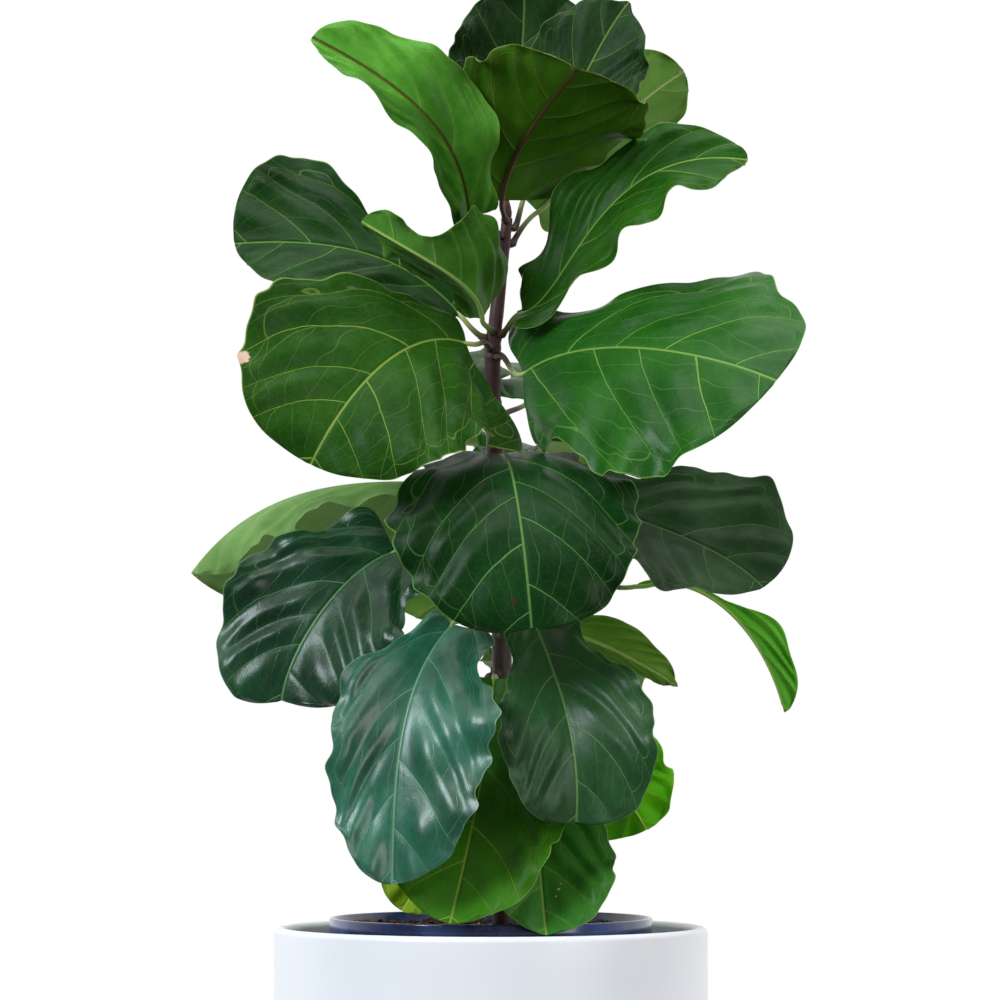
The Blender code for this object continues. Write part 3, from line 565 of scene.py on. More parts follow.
# %% Leaf table
LEAVES = {
    # Crown, behind the front leaf, upper side forward.
    "leaf_top_back": dict(node=0.788, half=(0.06, 0.0675),
         rib=[(0.013, 0.054, 0.825), (0.019, 0.084, 0.878), (0.024, 0.095, 0.934), (0.026, 0.082, 0.985)],
         face=[(0, -1, 0.3)],
         fold=(12, 12), rise=2, at=0.6, waist=0.5),
    # Crown, behind and to the right.
    "leaf_top_back_right": dict(node=0.784, half=(0.05, 0.056),
         rib=[(0.028, 0.02, 0.815), (0.052, 0.03, 0.863), (0.078, 0.036, 0.917), (0.104, 0.036, 0.96)],
         face=[(-0.3, -1, 0.2)],
         fold=(10, 10), tip=0.03, rise=2, at=0.55),
    # Crown, in front, its underside forward.
    "leaf_top_centre": dict(node=0.790, half=(0.09, 0.068),
         rib=[(0.008, -0.012, 0.804), (0.019, -0.04, 0.836), (0.041, -0.083, 0.866), (0.065, -0.124, 0.89)],
         face=[(-0.2, 0.85, 0.4), (0, 0.7, 0.7)],
         fold=(10, 10), rise=1.5, left=dict(waist=0.66, at=0.5),
         right=dict(waist=0.42, at=0.62, start=0.2, lobe=0)),
    # Crown, low on the right, its underside forward.
    "leaf_top_right": dict(node=0.772, half=(0.0475, 0.0475),
         rib=[(0.036, 0.032, 0.8), (0.058, 0.044, 0.826), (0.094, 0.06, 0.868), (0.151, 0.07, 0.914)],
         face=[(-0.3, 0.9, 0.3)],
         rise=1.5),
    # Crown, long and folded, reaching up to the left.
    "leaf_upper_left": dict(node=0.778, half=(0.03, 0.046),
         rib=[(-0.017, -0.02, 0.791), (-0.027, -0.066, 0.829), (-0.06, -0.092, 0.87), (-0.134, -0.09, 0.918)],
         face=[(0.1, -0.9, 0.4)],
         fold=(25, 25), curl=(0, 10), rise=1.5, at=0.45, waist=0.45, blunt=2.5,
         left=dict(at=0.35, waist=0.8)),
    # Left, level with the upper joint.
    "leaf_left_dark": dict(node=0.700, half=(0.075, 0.085),
         rib=[(-0.024, 0.004, 0.718), (-0.07, 0.008, 0.755), (-0.127, 0, 0.771), (-0.196, -0.01, 0.771)],
         face=[(0.1, -0.75, 0.6)],
         fold=(12, 5), right=dict(at=0.78, waist=0.34, start=0.4, blunt=6, lobe=0),
         left=dict(at=0.45, waist=0.6)),
    # Upper joint, small and tightly folded.
    "leaf_small_centre": dict(node=0.705, half=(0.062, 0.04),
         rib=[(-0.007, -0.018, 0.713), (-0.017, -0.055, 0.732),
              (-0.045, -0.095, 0.749), (-0.096, -0.115, 0.777)],
         face=[(-0.3, 0.5, 0.8)],
         fold=(45, 35), left=dict(at=0.3, waist=0.8, blunt=1.8, lobe=0), bumps=[(-1, 0.72, 0.2, -0.7)]),
    # Right, rising, with a wavy lower margin.
    "leaf_right_upper": dict(node=0.702, half=(0.045, 0.064),
         rib=[(0.024, -0.012, 0.718), (0.059, -0.029, 0.755), (0.107, -0.045, 0.811), (0.194, -0.055, 0.83)],
         face=[(-0.3, -0.6, 0.75)],
         fold=(15, 5), wave=0.007, waves=(3, 4), left=dict(at=0.5, waist=0.7, blunt=3),
         right=dict(at=0.5, waist=0.45), bumps=[(1, 0.52, 0.12, 0.15)]),
    # Right, the largest blade.
    "leaf_right_big": dict(node=0.685, half=(0.095, 0.112),
         rib=[(0.024, -0.03, 0.67), (0.08, -0.075, 0.686), (0.148, -0.12, 0.678), (0.209, -0.16, 0.656)],
         face=[(-0.1, -0.9, 0.45)],
         fold=(-5, 0), curl=(-20, -5), left=dict(at=0.8, waist=0.38, lobe=0.25, cord=0.12),
         right=dict(at=0.6, waist=0.64, blunt=6), bumps=[(-1, 0.76, 0.05, 0.14), (-1, 0.88, 0.03, -0.06)]),
    # Left, hanging, with a deep lobe beside its stalk.
    "leaf_left_big": dict(node=0.692, half=(0.094, 0.1),
         rib=[(-0.019, -0.05, 0.692), (-0.068, -0.1, 0.681), (-0.107, -0.14, 0.639), (-0.132, -0.15, 0.595)],
         face=[(0.1, -0.85, 0.5)],
         fold=(-2, 12), curl=(-5, 10), left=dict(cord=0.26, lobe=0.2, waist=0.95, at=0.3),
         right=dict(cord=0, lobe=0, waist=0.28, start=0.05, at=0.6)),
    # Left, arched over with its far half hanging.
    "leaf_far_left": dict(node=0.590, half=(0.055, 0.085),
         rib=[(-0.051, 0.01, 0.59), (-0.114, 0.02, 0.588), (-0.176, 0.02, 0.569), (-0.23, 0.01, 0.52)],
         face=[(0, -0.1, 1)],
         fold=(-18, -62), curl=(0, -5), at=0.55, waist=0.6, right=dict(blunt=9)),
    # Left, below the arched leaf.
    "leaf_left_glossy": dict(node=0.540, half=(0.083, 0.073),
         rib=[(-0.073, -0.03, 0.535), (-0.112, -0.047, 0.508),
              (-0.143, -0.058, 0.464), (-0.157, -0.062, 0.422)],
         face=[(-0.2, -0.8, 0.5)],
         fold=(0, 12), notch=0.05, at=0.5, waist=0.6, left=dict(blunt=8)),
    # Front, round, the nearest blade.
    "leaf_front_round": dict(node=0.600, half=(0.092, 0.098),
         rib=[(0.007, -0.035, 0.608), (0.016, -0.105, 0.589), (0.024, -0.15, 0.536), (0.03, -0.16, 0.475)],
         face=[(0, -0.3, 1), (0.05, -1, 0.15)],
         fold=(0, 0), curl=(-15, -15), notch=0.03, waist=0.6, at=0.5),
    # Right, below the largest blade.
    "leaf_right_mid": dict(node=0.570, half=(0.08, 0.112),
         rib=[(0.053, 0.01, 0.58), (0.11, -0.02, 0.56), (0.164, -0.04, 0.537), (0.205, -0.055, 0.507)],
         face=[(0.1, -0.6, 0.8)],
         left=dict(at=0.75), right=dict(at=0.5, waist=0.6)),
    # Right, narrow, closed and drooping.
    "leaf_right_curl": dict(node=0.525, half=(0.022, 0.03),
         rib=[(0.115, 0.03, 0.502), (0.161, 0.035, 0.501), (0.201, 0.035, 0.469), (0.226, 0.03, 0.413)],
         face=[(0.6, 0.1, 0.7)],
         fold=(64, 58), curl=(0, 20), at=0.5, blunt=2.6),
    # Lower left, hanging.
    "leaf_low_left": dict(node=0.495, half=(0.076, 0.054),
         rib=[(-0.029, -0.08, 0.479), (-0.057, -0.12, 0.43), (-0.069, -0.14, 0.367), (-0.072, -0.15, 0.288)],
         face=[(-0.15, -0.95, 0.2)],
         at=0.4, waist=0.5, blunt=4, right=dict(waist=0.3, start=0.1)),
    # Lower right of the middle, hanging.
    "leaf_low_centre": dict(node=0.490, half=(0.064, 0.058),
         rib=[(0.034, -0.055, 0.478), (0.05, -0.1, 0.434), (0.061, -0.125, 0.386), (0.063, -0.125, 0.333)],
         face=[(0.1, -1, 0.3)],
         notch=0.02, at=0.6, blunt=7),
    # Bottom, hanging over the rim of the inner pot.
    "leaf_bottom_centre": dict(node=0.430, half=(0.075, 0.075),
         rib=[(0.002, -0.018, 0.438), (-0.004, -0.045, 0.385),
              (-0.015, -0.09, 0.322), (-0.03, -0.145, 0.259)],
         face=[(-0.1, -0.95, 0.2)],
         at=0.5, waist=0.6),
    # Bottom right, its tip between the two pots.
    "leaf_bottom_right": dict(node=0.405, half=(0.058, 0.05),
         rib=[(0.016, -0.03, 0.392), (0.031, -0.05, 0.34), (0.037, -0.075, 0.296), (0.041, -0.13, 0.25)],
         face=[(0.1, -1, 0.3)]),
    # Behind the lower leaves, on the right.
    "leaf_right_low_back": dict(node=0.395, half=(0.06, 0.048),
         rib=[(0.034, 0.035, 0.396), (0.06, 0.05, 0.384), (0.094, 0.056, 0.357), (0.12, 0.055, 0.322)],
         face=[(0.1, 0.9, 0.4)],
         wave=0.006, waves=(5, 6)),
    # Behind the lower leaves, on the left.
    "leaf_low_left_back": dict(node=0.405, half=(0.04, 0.04),
         rib=[(-0.008, -0.012, 0.377), (-0.022, -0.02, 0.343),
              (-0.044, -0.035, 0.303), (-0.067, -0.045, 0.264)],
         face=[(-0.2, -1, 0.3)]),
    # Right, small and pointed.
    "leaf_right_small": dict(node=0.495, half=(0.026, 0.026),
         rib=[(0.049, -0.01, 0.477), (0.079, -0.02, 0.468), (0.109, -0.03, 0.453), (0.138, -0.035, 0.435)],
         face=[(0.3, 0.7, 0.7)],
         tip=0.04, at=0.5, waist=0.6, blunt=2.4),
    # Back.
    "leaf_back_mid": dict(node=0.615, half=(0.075, 0.075),
         rib=[(0.016, 0.05, 0.607), (0.034, 0.1, 0.621), (0.045, 0.16, 0.618), (0.052, 0.2, 0.584)],
         face=[(0, 0.2, 1), (0, 0.8, 0.6)]),
    "leaf_back_left": dict(node=0.650, half=(0.075, 0.075),
         rib=[(-0.016, 0.05, 0.667), (-0.048, 0.1, 0.69), (-0.085, 0.15, 0.686), (-0.106, 0.18, 0.655)],
         face=[(-0.2, 0.3, 1), (-0.3, 0.8, 0.6)]),
    "leaf_back_right": dict(node=0.640, half=(0.08, 0.08),
         rib=[(0.03, 0.05, 0.655), (0.062, 0.1, 0.678), (0.099, 0.15, 0.678), (0.123, 0.18, 0.651)],
         face=[(0.2, 0.3, 1), (0.3, 0.8, 0.6)]),
    "leaf_back_low": dict(node=0.535, half=(0.08, 0.08),
         rib=[(-0.001, 0.05, 0.508), (-0.017, 0.1, 0.525), (-0.029, 0.15, 0.514), (-0.033, 0.18, 0.483)],
         face=[(0, 0.3, 1), (0, 1, 0.4)]),
    "leaf_back_low_right": dict(node=0.470, half=(0.07, 0.07),
         rib=[(0.03, 0.05, 0.43), (0.042, 0.09, 0.438), (0.054, 0.14, 0.423), (0.063, 0.16, 0.387)],
         face=[(0.2, 0.3, 1), (0.3, 0.8, 0.4)]),
    "leaf_back_low_left": dict(node=0.440, half=(0.065, 0.065),
         rib=[(-0.016, 0.04, 0.388), (-0.032, 0.08, 0.395), (-0.048, 0.12, 0.379), (-0.053, 0.14, 0.343)],
         face=[(-0.2, 0.3, 1), (-0.3, 0.8, 0.4)]),
}
print("leaves:", len(LEAVES))
# %% [markdown]
# ## Stem and bud
# The stem is a thin dark maroon-brown rod, ringed at each joint where a leaf grew, and marked
# with small pale pores. It is a tube whose radius swells at every joint. At its tip the next leaf
# waits in a pointed brown sheath, which is a short tube with a spiral ridge.

# %% Stem and bud
def tube(path, tangents, upward, radius, steps):
    """Round tube: point = path + r (cos t side + sin t up), with the frame turned smoothly along the path."""
    turn = full_turn(steps)
    side = unit(np.cross(tangents, upward))
    up = np.cross(side, tangents)
    return (path[:, None] + radius[:, None, None] *
            (np.cos(turn)[None, :, None] * side[:, None] + np.sin(turn)[None, :, None] * up[:, None]))


def stem_at(z):
    """Centre and radius of the stem at one height."""
    centre = np.array([np.interp(z, STEM[:, 2], STEM[:, 0]), np.interp(z, STEM[:, 2], STEM[:, 1]), z])
    return centre, float(np.interp(z, STEM[:, 2], STEM[:, 3]))


def skin_finish(name, low_colour, high_colour, spot, rough, change):
    """Young bark: two browns that change over with height, with pores and fine lengthwise cracks."""
    made, tree, shader, where = new_finish(name)
    height = wire(tree, "SeparateXYZ", where, out=2)
    stretched = wire(tree, "Mapping", where, None, None, (1.0, 1.0, 0.18))
    streaks = noise(tree, stretched, 420.0, 5.0, 0.65)
    tone = calc(tree, "ADD", ramp(tree, height, change[0], change[1]), calc(tree, "MULTIPLY", streaks, 0.5))
    tone = ramp(tree, tone, 0.15, 1.25)
    pores = wire(tree, "TexVoronoi", stretched, None, 150.0, out=0)
    pore = ramp(tree, pores, 0.10, 0.22, 1.0, 0.0)
    body = blend_colour(tree, tone, low_colour, high_colour)
    colour = blend_colour(tree, calc(tree, "MULTIPLY", pore, 0.5), body, spot)
    tree.links.new(colour, shader.inputs["Base Color"])
    shader.inputs["Roughness"].default_value = rough
    relief = calc(tree, "ADD", calc(tree, "MULTIPLY", streaks, 0.35), calc(tree, "MULTIPLY", pore, 0.2))
    bump(tree, shader, relief)
    return made


stem_bark = skin_finish("maroon_bark", srgb(58, 34, 30), srgb(66, 30, 34), srgb(128, 104, 88),
                        0.5, (0.45, 0.75))
bud_skin = skin_finish("brown_sheath", srgb(62, 34, 26), srgb(112, 58, 40), srgb(90, 60, 44),
                       0.45, (0.793, 0.815))
STEM_RINGS, STEM_SIDES, BUD_RINGS, BUD_SIDES = 420, 40, 48, 28
BUD_HEIGHT, BUD_LEAN = 0.0205, 0.0021
EASED = 15

height = np.linspace(STEM[0, 2], STEM[-1, 2], STEM_RINGS)
stem_path = np.stack([np.interp(height, STEM[:, 2], STEM[:, k]) for k in (0, 1)] + [height], -1)
ease = np.ones(2 * EASED + 1) / (2 * EASED + 1)
for k in (0, 1):
    stem_path[EASED:-EASED, k] = np.convolve(stem_path[:, k], ease, "valid")
joints = np.array(sorted(spec["node"] for spec in LEAVES.values()))
ring = np.exp(-((height[:, None] - joints) / 0.0022) ** 2).max(axis=1)
waist = np.exp(-((height[:, None] - joints - 0.006) / 0.004) ** 2).max(axis=1)
radius = np.interp(height, STEM[:, 2], STEM[:, 3]) * (1.0 + 0.11 * ring - 0.05 * waist)
slope = unit(np.gradient(stem_path, axis=0))
tube_points = tube(stem_path, slope, np.array([0.0, 1.0, 0.0]), radius, STEM_SIDES)
turn = full_turn(STEM_SIDES)
gnarl = (1.0 + 0.025 * np.sin(3 * turn + 40.0 * height[:, None])
         + 0.015 * np.sin(5 * turn - 90.0 * height[:, None]))
tube_points = stem_path[:, None] + (tube_points - stem_path[:, None]) * gnarl[..., None]
points = np.concatenate([tube_points.reshape(-1, 3), stem_path[:1], stem_path[-1:]])
stem = make_piece("stem_rod", points, closed_tube(STEM_RINGS, STEM_SIDES), [stem_bark])
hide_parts("stem")

rise = np.linspace(0.0, 1.0, BUD_RINGS)
outline_r = np.interp(rise, [0, 0.19, 0.43, 0.72, 0.92, 1.0],
                      [0.0030, 0.0040, 0.0036, 0.0022, 0.0009, 0.0002])
turn = full_turn(BUD_SIDES)
ridge = 1.0 + 0.07 * np.cos(turn - 5.0 * rise[:, None]) ** 8
bud_x, bud_y, bud_z = STEM[-1, :3]
bud_x = bud_x - BUD_LEAN * rise
rings = np.stack([bud_x[:, None] + outline_r[:, None] * ridge * np.cos(turn),
                  bud_y + outline_r[:, None] * ridge * np.sin(turn),
                  np.broadcast_to(bud_z + GAP + BUD_HEIGHT * rise[:, None], ridge.shape)], -1)
ends = [(bud_x[0], bud_y, bud_z + GAP), (bud_x[-1], bud_y, bud_z + GAP + BUD_HEIGHT + 0.0005)]
points = np.concatenate([rings.reshape(-1, 3), ends])
bud = make_piece("bud_sheath", points, closed_tube(BUD_RINGS, BUD_SIDES), [bud_skin])
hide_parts("apical_bud")
print("stem rings:", len(height), "joints:", len(joints))

# %% [markdown]
# ## The shape of a leaf
# A fiddle leaf is violin-shaped: narrow shoulders, a broad blunt top, and lobes that run back
# past its stalk. Its midrib is a cubic curve through four points, and each half of the blade is
# an arc that leaves the midrib at a fold angle and turns by a curl angle. The same formula gave
# the solids their coarse leaves, so the fine blade lies in the same place. Where a fine blade
# differs a little from its solid, FINER or the shape entry in LOOKS says how.

# %% Midrib, outline and blade
USUAL = dict(
    waist=0.45, at=0.62, blunt=5.0, lobe=0.10, start=0.16, cord=0.05, notch=0.0, tip=0.0,
    fold=(12, 12), curl=(10, 10), wave=0.006, waves=(3.0, 3.3), phase=(0.0, 1.6), rise=0.5,
    left={}, right={}, bumps=(), scallop=0.018, puff=1.0, crinkle=1.0, ripple=1.0,
)
STALK_BASE, STALK_TIP = 0.0026, 0.0019


def midrib(spec):
    """Arc length, points and tangents of a Bezier stalk and a cubic midrib, and the way out of the stem."""
    p = [np.asarray(q, float) for q in spec["rib"]]
    t = np.linspace(0.0, 1.0, 241)[:, None]
    rib = (p[0] * (t - 1 / 3) * (t - 2 / 3) * (t - 1) / (-2 / 9)
           + p[1] * t * (t - 2 / 3) * (t - 1) / (2 / 27)
           + p[2] * t * (t - 1 / 3) * (t - 1) / (-2 / 27)
           + p[3] * t * (t - 1 / 3) * (t - 2 / 3) / (2 / 9))
    centre, radius = stem_at(spec["node"])
    out = rib[0] - centre
    out[2] = 0.0
    out = unit(out)
    tilt = spec["rise"] / math.hypot(1.0, spec["rise"])
    start = centre + out * (radius + STALK_BASE * tilt + 2.0 * GAP)
    reach = np.linalg.norm(rib[0] - start)
    away = unit(out + np.array([0.0, 0.0, spec["rise"]]))
    along = unit(rib[1] - rib[0])
    h = np.linspace(0.0, 1.0, 61)[:, None]
    stalk = ((1 - h) ** 3 * start + 3 * (1 - h) ** 2 * h * (start + away * reach * 0.35)
             + 3 * (1 - h) * h ** 2 * (rib[0] - along * reach * 0.35) + h ** 3 * rib[0])
    points = np.concatenate([stalk[:-1], rib])
    u = np.concatenate([[0.0], np.cumsum(np.linalg.norm(np.diff(points, axis=0), axis=1))])
    u = u - u[len(stalk) - 1]
    return u, points, unit(np.gradient(points, u, axis=0)), out


def outline(s, side):
    """Half width, 0 to 1: (waist + smooth widening + basal lobe) times a blunt end at base and apex."""
    def shape(s):
        body = side["waist"] + (1 - side["waist"]) * smooth(side["start"], side["at"], s)
        body = body + side["lobe"] * np.exp(-((s - 0.07) / 0.09) ** 2)
        ends = np.sqrt(np.clip(1 - (1 - s) ** 16, 0, 1)) * np.sqrt(np.clip(1 - s ** side["blunt"], 0, 1))
        return body * ends
    return shape(s) / shape(np.linspace(0, 1, 400)).max()


def facing_at(spec, share):
    """The way the upper side faces at a share of the way along: a straight mix of the face at each end."""
    faces = [unit(q) for q in spec["face"]]
    return faces[0] * (1 - share[..., None]) + faces[-1] * share[..., None]


def blade(spec, s, v):
    """Middle surface, with a the half width: centre + side (a cos) + up (a sin + wave)."""
    u, points, tangents, _ = midrib(spec)
    length = u[-1]
    S, V = np.meshgrid(s, v, indexing="ij")
    right = V > 0
    left_side = {**spec, **spec["left"]}
    right_side = {**spec, **spec["right"]}
    f = np.where(right, outline(S, right_side), outline(S, left_side))
    for which, centre, spread, gain in spec["bumps"]:
        here = np.where(np.sign(V) == which, gain, 0.0)
        f = f * (1 + here * np.exp(-((S - centre) / spread) ** 2))
    nicks = (np.sin(2 * np.pi * 5.7 * S + 2.0 * np.sign(V) + 3.0 * S * S)
             + 0.6 * np.sin(2 * np.pi * 11.3 * S + np.sign(V)))
    f = f * (1 + spec["scallop"] * nicks * smooth(0.08, 0.30, S))
    cord = np.where(right, right_side["cord"], left_side["cord"])
    notch = np.where(right, right_side["notch"], left_side["notch"])
    half = np.where(right, spec["half"][1], spec["half"][0])
    a = np.abs(V) * f
    x = S - cord * np.abs(V) ** 1.6 * (S / 0.06) * np.exp(1 - S / 0.06)
    x = x + notch * np.abs(V) ** 1.5 * smooth(0.72, 0.97, S) * np.sqrt(np.clip(1 - S ** 60, 0, 1))
    x = x + spec["tip"] * smooth(0.86, 1.0, S) * np.exp(-(a / 0.10) ** 2)
    along = x * length
    held = np.clip(along, 0.0, length)
    centre = np.stack([np.interp(held, u, points[:, k]) for k in range(3)], -1)
    T = unit(np.stack([np.interp(held, u, tangents[:, k]) for k in range(3)], -1))
    centre = centre + (along - held)[..., None] * T
    facing = facing_at(spec, S)
    N = unit(facing - (facing * T).sum(-1, keepdims=True) * T)
    across_way = np.cross(T, N)
    fold = np.radians(np.where(right, spec["fold"][1], spec["fold"][0]))
    curl = np.radians(np.where(right, spec["curl"][1], spec["curl"][0]))
    bend = np.sinc(curl * a / 2 / np.pi)
    across = half * a * np.cos(fold + curl * a / 2) * bend
    up = half * a * np.sin(fold + curl * a / 2) * bend
    count = np.where(right, spec["waves"][1], spec["waves"][0])
    phase = np.where(right, spec["phase"][1], spec["phase"][0])
    amount = smooth(0.0, 0.15, S) * np.clip(f, 0.3, 1)
    up = up + spec["wave"] * np.abs(V) ** 2.6 * np.sin(2 * np.pi * count * S + phase) * amount
    surface = centre + across_way * (np.sign(V) * across)[..., None] + N * up[..., None]
    return surface, x, a, length, half


# %% [markdown]
# ## Veins and quilting
# About five side veins leave the midrib on each side and arch toward the margin, and the blade
# swells between them like a quilt. One number per point, the vein number, is a whole number on
# every side vein. The quilting, the ridges below and the pale lines of the finish all read it,
# so they always agree. It is kept with the mesh as a UV map, split at the midrib so that the two
# sides can alternate.

# %% Fine blade of one leaf
VEINS = 4.7


def vein_number(x, a, shift):
    """Veins per blade (place along - 0.25 a - 0.35 a squared): each whole number is one arching vein."""
    number = VEINS * (x - 0.25 * a - 0.35 * a ** 2) + shift
    return number + 0.13 * np.sin(2.3 * number + 9.0 * shift)


def swell(number):
    """0 on a vein and 1 half-way between two."""
    return 0.5 - 0.5 * np.cos(2.0 * np.pi * number)


# shares of the half width: closer together at the midrib and at the margin
HALF_STEPS = np.concatenate([
    [0.0, 0.008, 0.018, 0.032, 0.050],
    np.linspace(0.075, 0.945, 33),
    [0.968, 0.985, 0.995, 1.0],
])
ACROSS = np.concatenate([-HALF_STEPS[:0:-1], HALF_STEPS])
ROWS_ALONG = 131
WALK = np.linspace(0.0, 1.0, ROWS_ALONG)
ALONG = 0.0006 + 0.9990 * (0.45 * WALK + 0.55 * (1 - np.cos(np.pi * WALK)) / 2)
# thickness of the blade, then the heights of its quilting, its wrinkles and its wavy margin
SHEET, QUILT, WRINKLE, FRILL = 0.0009, 0.0026, 0.0032, 0.0020
WRINKLE_WAVES = 7
# rings of the rod on the stalk and under the blade, points round it, and its run into the stem
STALK_RINGS, RIB_RINGS, ROD_SIDES, ROOT_DEPTH = 25, 70, 20, 0.0034


def leaf_normals(surface):
    """Unit normals of the upper side: across direction times along direction."""
    return unit(np.cross(np.gradient(surface, axis=1), np.gradient(surface, axis=0)))


def fine_leaf(name, given, skins, seed):
    """Upper and under sheets stitched at the margin, with a tapering stalk and midrib, as one piece."""
    spec = {**USUAL, **given}
    rng = np.random.default_rng(seed)
    surface, x, a, length, half = blade(spec, ALONG, ACROSS)
    V = np.broadcast_to(ACROSS, x.shape)
    S = np.broadcast_to(ALONG[:, None], x.shape)
    shifts = rng.uniform(0.1, 0.35), rng.uniform(0.45, 0.7)
    number = np.where(V < 0, vein_number(x, a, shifts[0]), vein_number(x, a, shifts[1]))
    metres_x, metres_y = x * length, half * a * np.sign(V)
    open_part = smooth(0.05, 0.30, a) * (1 - smooth(0.74, 0.98, np.abs(V)))
    quilt = QUILT * spec["puff"] * swell(number) * open_part
    wrinkle = np.zeros(x.shape)
    for _ in range(WRINKLE_WAVES):
        k, l = rng.uniform(-100, 100, 2)
        wrinkle = wrinkle + np.sin(k * metres_x + l * metres_y + rng.uniform(0, 6.3)) / WRINKLE_WAVES
    wrinkle = WRINKLE * spec["crinkle"] * wrinkle * smooth(0.02, 0.35, a)
    edge = np.abs(V) ** 7 * smooth(0.0, 0.10, S) * (1 - smooth(0.93, 1.0, S))
    count, lag = rng.uniform(4.0, 6.0), rng.uniform(0, 6.3)
    frill = np.sin(2 * np.pi * count * S + lag + 2.0 * V) + 0.3 * np.sin(2 * np.pi * 2.1 * count * S + lag)
    frill = FRILL * spec["ripple"] * edge * frill
    surface = surface + leaf_normals(surface) * (quilt + wrinkle + frill)[..., None]
    normal = leaf_normals(surface)
    thick = 0.5 * SHEET * np.sqrt(np.clip(1 - np.abs(V) ** 14, 0, 1))
    line = np.abs(number - np.round(number)) * length / VEINS
    ridge = 0.0007 * np.exp(-(line / 0.0018) ** 2) * (1 - smooth(0.3, 0.9, a)) * smooth(0.0, 0.04, a)
    groove = 0.0006 * np.exp(-(metres_y / 0.0016) ** 2) + 0.5 * ridge
    top = surface + normal * (thick - groove)[..., None]
    under = surface - normal * (thick + ridge)[..., None]
    rows, columns = x.shape
    centre_column = columns // 2
    under_inner = under[:, 1:-1]
    first = rows * columns
    under_index = np.arange(rows)[:, None] * columns + np.zeros(columns, int)
    under_index[:, 1:-1] = first + np.arange(rows)[:, None] * (columns - 2) + np.arange(columns - 2)
    under_index[:, -1] = np.arange(rows) * columns + columns - 1
    top_index = np.arange(rows * columns).reshape(rows, columns)
    ends = blade(spec, np.array([0.0, 1.0]), np.array([0.0]))[0][:, 0]
    base_pole = first + rows * (columns - 2)
    blade_points = np.concatenate([top.reshape(-1, 3), under_inner.reshape(-1, 3), ends])

    def corners_of(index, flip):
        """Quads and end triangles of one sheet, with the grid place that each corner's map is read from."""
        i, j = np.meshgrid(np.arange(rows - 1), np.arange(columns - 1), indexing="ij")
        grid = [(i, j), (i, j + 1), (i + 1, j + 1), (i + 1, j)]
        quads = np.stack([index[r, c] for r, c in grid], -1).reshape(-1, 4)
        place = np.stack([top_index[r, c] for r, c in grid], -1).reshape(-1, 4)
        left = np.repeat((j < centre_column).reshape(-1, 1), 4, axis=1)
        j = np.arange(columns - 1)
        low = np.stack([np.full(columns - 1, base_pole), index[0, j + 1], index[0, j]], -1)
        low_place = np.stack([top_index[0, j], top_index[0, j + 1], top_index[0, j]], -1)
        high = np.stack([index[-1, j], index[-1, j + 1], np.full(columns - 1, base_pole + 1)], -1)
        high_place = np.stack([top_index[-1, j], top_index[-1, j + 1], top_index[-1, j]], -1)
        tris, tri_place = np.concatenate([low, high]), np.concatenate([low_place, high_place])
        tri_left = np.repeat(np.tile(j < centre_column, 2)[:, None], 3, axis=1)
        if flip:
            quads, place, left = quads[:, ::-1], place[:, ::-1], left[:, ::-1]
            tris, tri_place, tri_left = tris[:, ::-1], tri_place[:, ::-1], tri_left[:, ::-1]
        return (quads, place, left), (tris, tri_place, tri_left)

    left_number = vein_number(x, a, shifts[0]).ravel()
    right_number = vein_number(x, a, shifts[1]).ravel()
    across_share = np.abs(V).ravel()
    parts, vein_map, size_map = [], [], []
    for index, flip, skin in ((top_index, False, 0), (under_index, True, 1)):
        for faces, place, left in corners_of(index, flip):
            parts.append((faces, skin))
            numbers = np.where(left, left_number[place], right_number[place])
            vein_map.append(np.stack([numbers, across_share[place]], -1).reshape(-1, 2))
            size_map.append(np.stack([metres_x.ravel()[place], metres_y.ravel()[place]], -1).reshape(-1, 2))

    # the stalk and the midrib: one tapering round rod, sunk into the under side of the blade
    u, path, tangents, out = midrib(spec)
    stalk_walk = np.linspace(u[0], 0.0, STALK_RINGS + 1)[:-1]
    walk = np.concatenate([stalk_walk, length * np.linspace(0.0, 0.965, RIB_RINGS)])
    centre = np.stack([np.interp(walk, u, path[:, k]) for k in range(3)], -1)
    T = unit(np.stack([np.interp(walk, u, tangents[:, k]) for k in range(3)], -1))
    share = np.clip(walk / length, 0.0, 1.0)
    facing = facing_at(spec, share)
    N = unit(facing - (facing * T).sum(-1, keepdims=True) * T)
    for k in range(STALK_RINGS - 1, -1, -1):
        N[k] = unit(N[k + 1] - N[k + 1].dot(T[k]) * T[k])
    on_stalk = np.clip(-walk / max(-u[0], 1e-6), 0.0, 1.0)
    stalk_radius = STALK_TIP + (STALK_BASE - STALK_TIP) * on_stalk ** 2
    rib_radius = 0.0004 + 0.0016 * (1 - share) ** 1.15
    radius = np.where(walk < 0, stalk_radius, rib_radius)
    radius = radius + 0.0009 * smooth(0.80, 1.0, on_stalk)
    centre = centre - N * ((radius * 1.12 + 0.0001) * smooth(-0.006, 0.006, walk))[:, None]
    centre[0] = centre[0] - out * ROOT_DEPTH
    rod = tube(centre, T, N, radius, ROD_SIDES)
    rod_start = len(blade_points)
    points = np.concatenate([blade_points, rod.reshape(-1, 3), centre[:1], centre[-1:] + T[-1:] * 0.0008])
    rod_walk = np.concatenate([np.repeat(walk, ROD_SIDES), walk[[0, -1]]])
    for faces, _ in closed_tube(len(walk), ROD_SIDES):
        parts.append((faces + rod_start, 2))
        flat = np.stack([rod_walk[faces.ravel()], np.zeros(faces.size)], -1)
        vein_map.append(flat)
        size_map.append(flat)
    made = make_piece(name, points, parts, skins,
                      maps={"veins": np.concatenate(vein_map), "size": np.concatenate(size_map)})
    return made, length
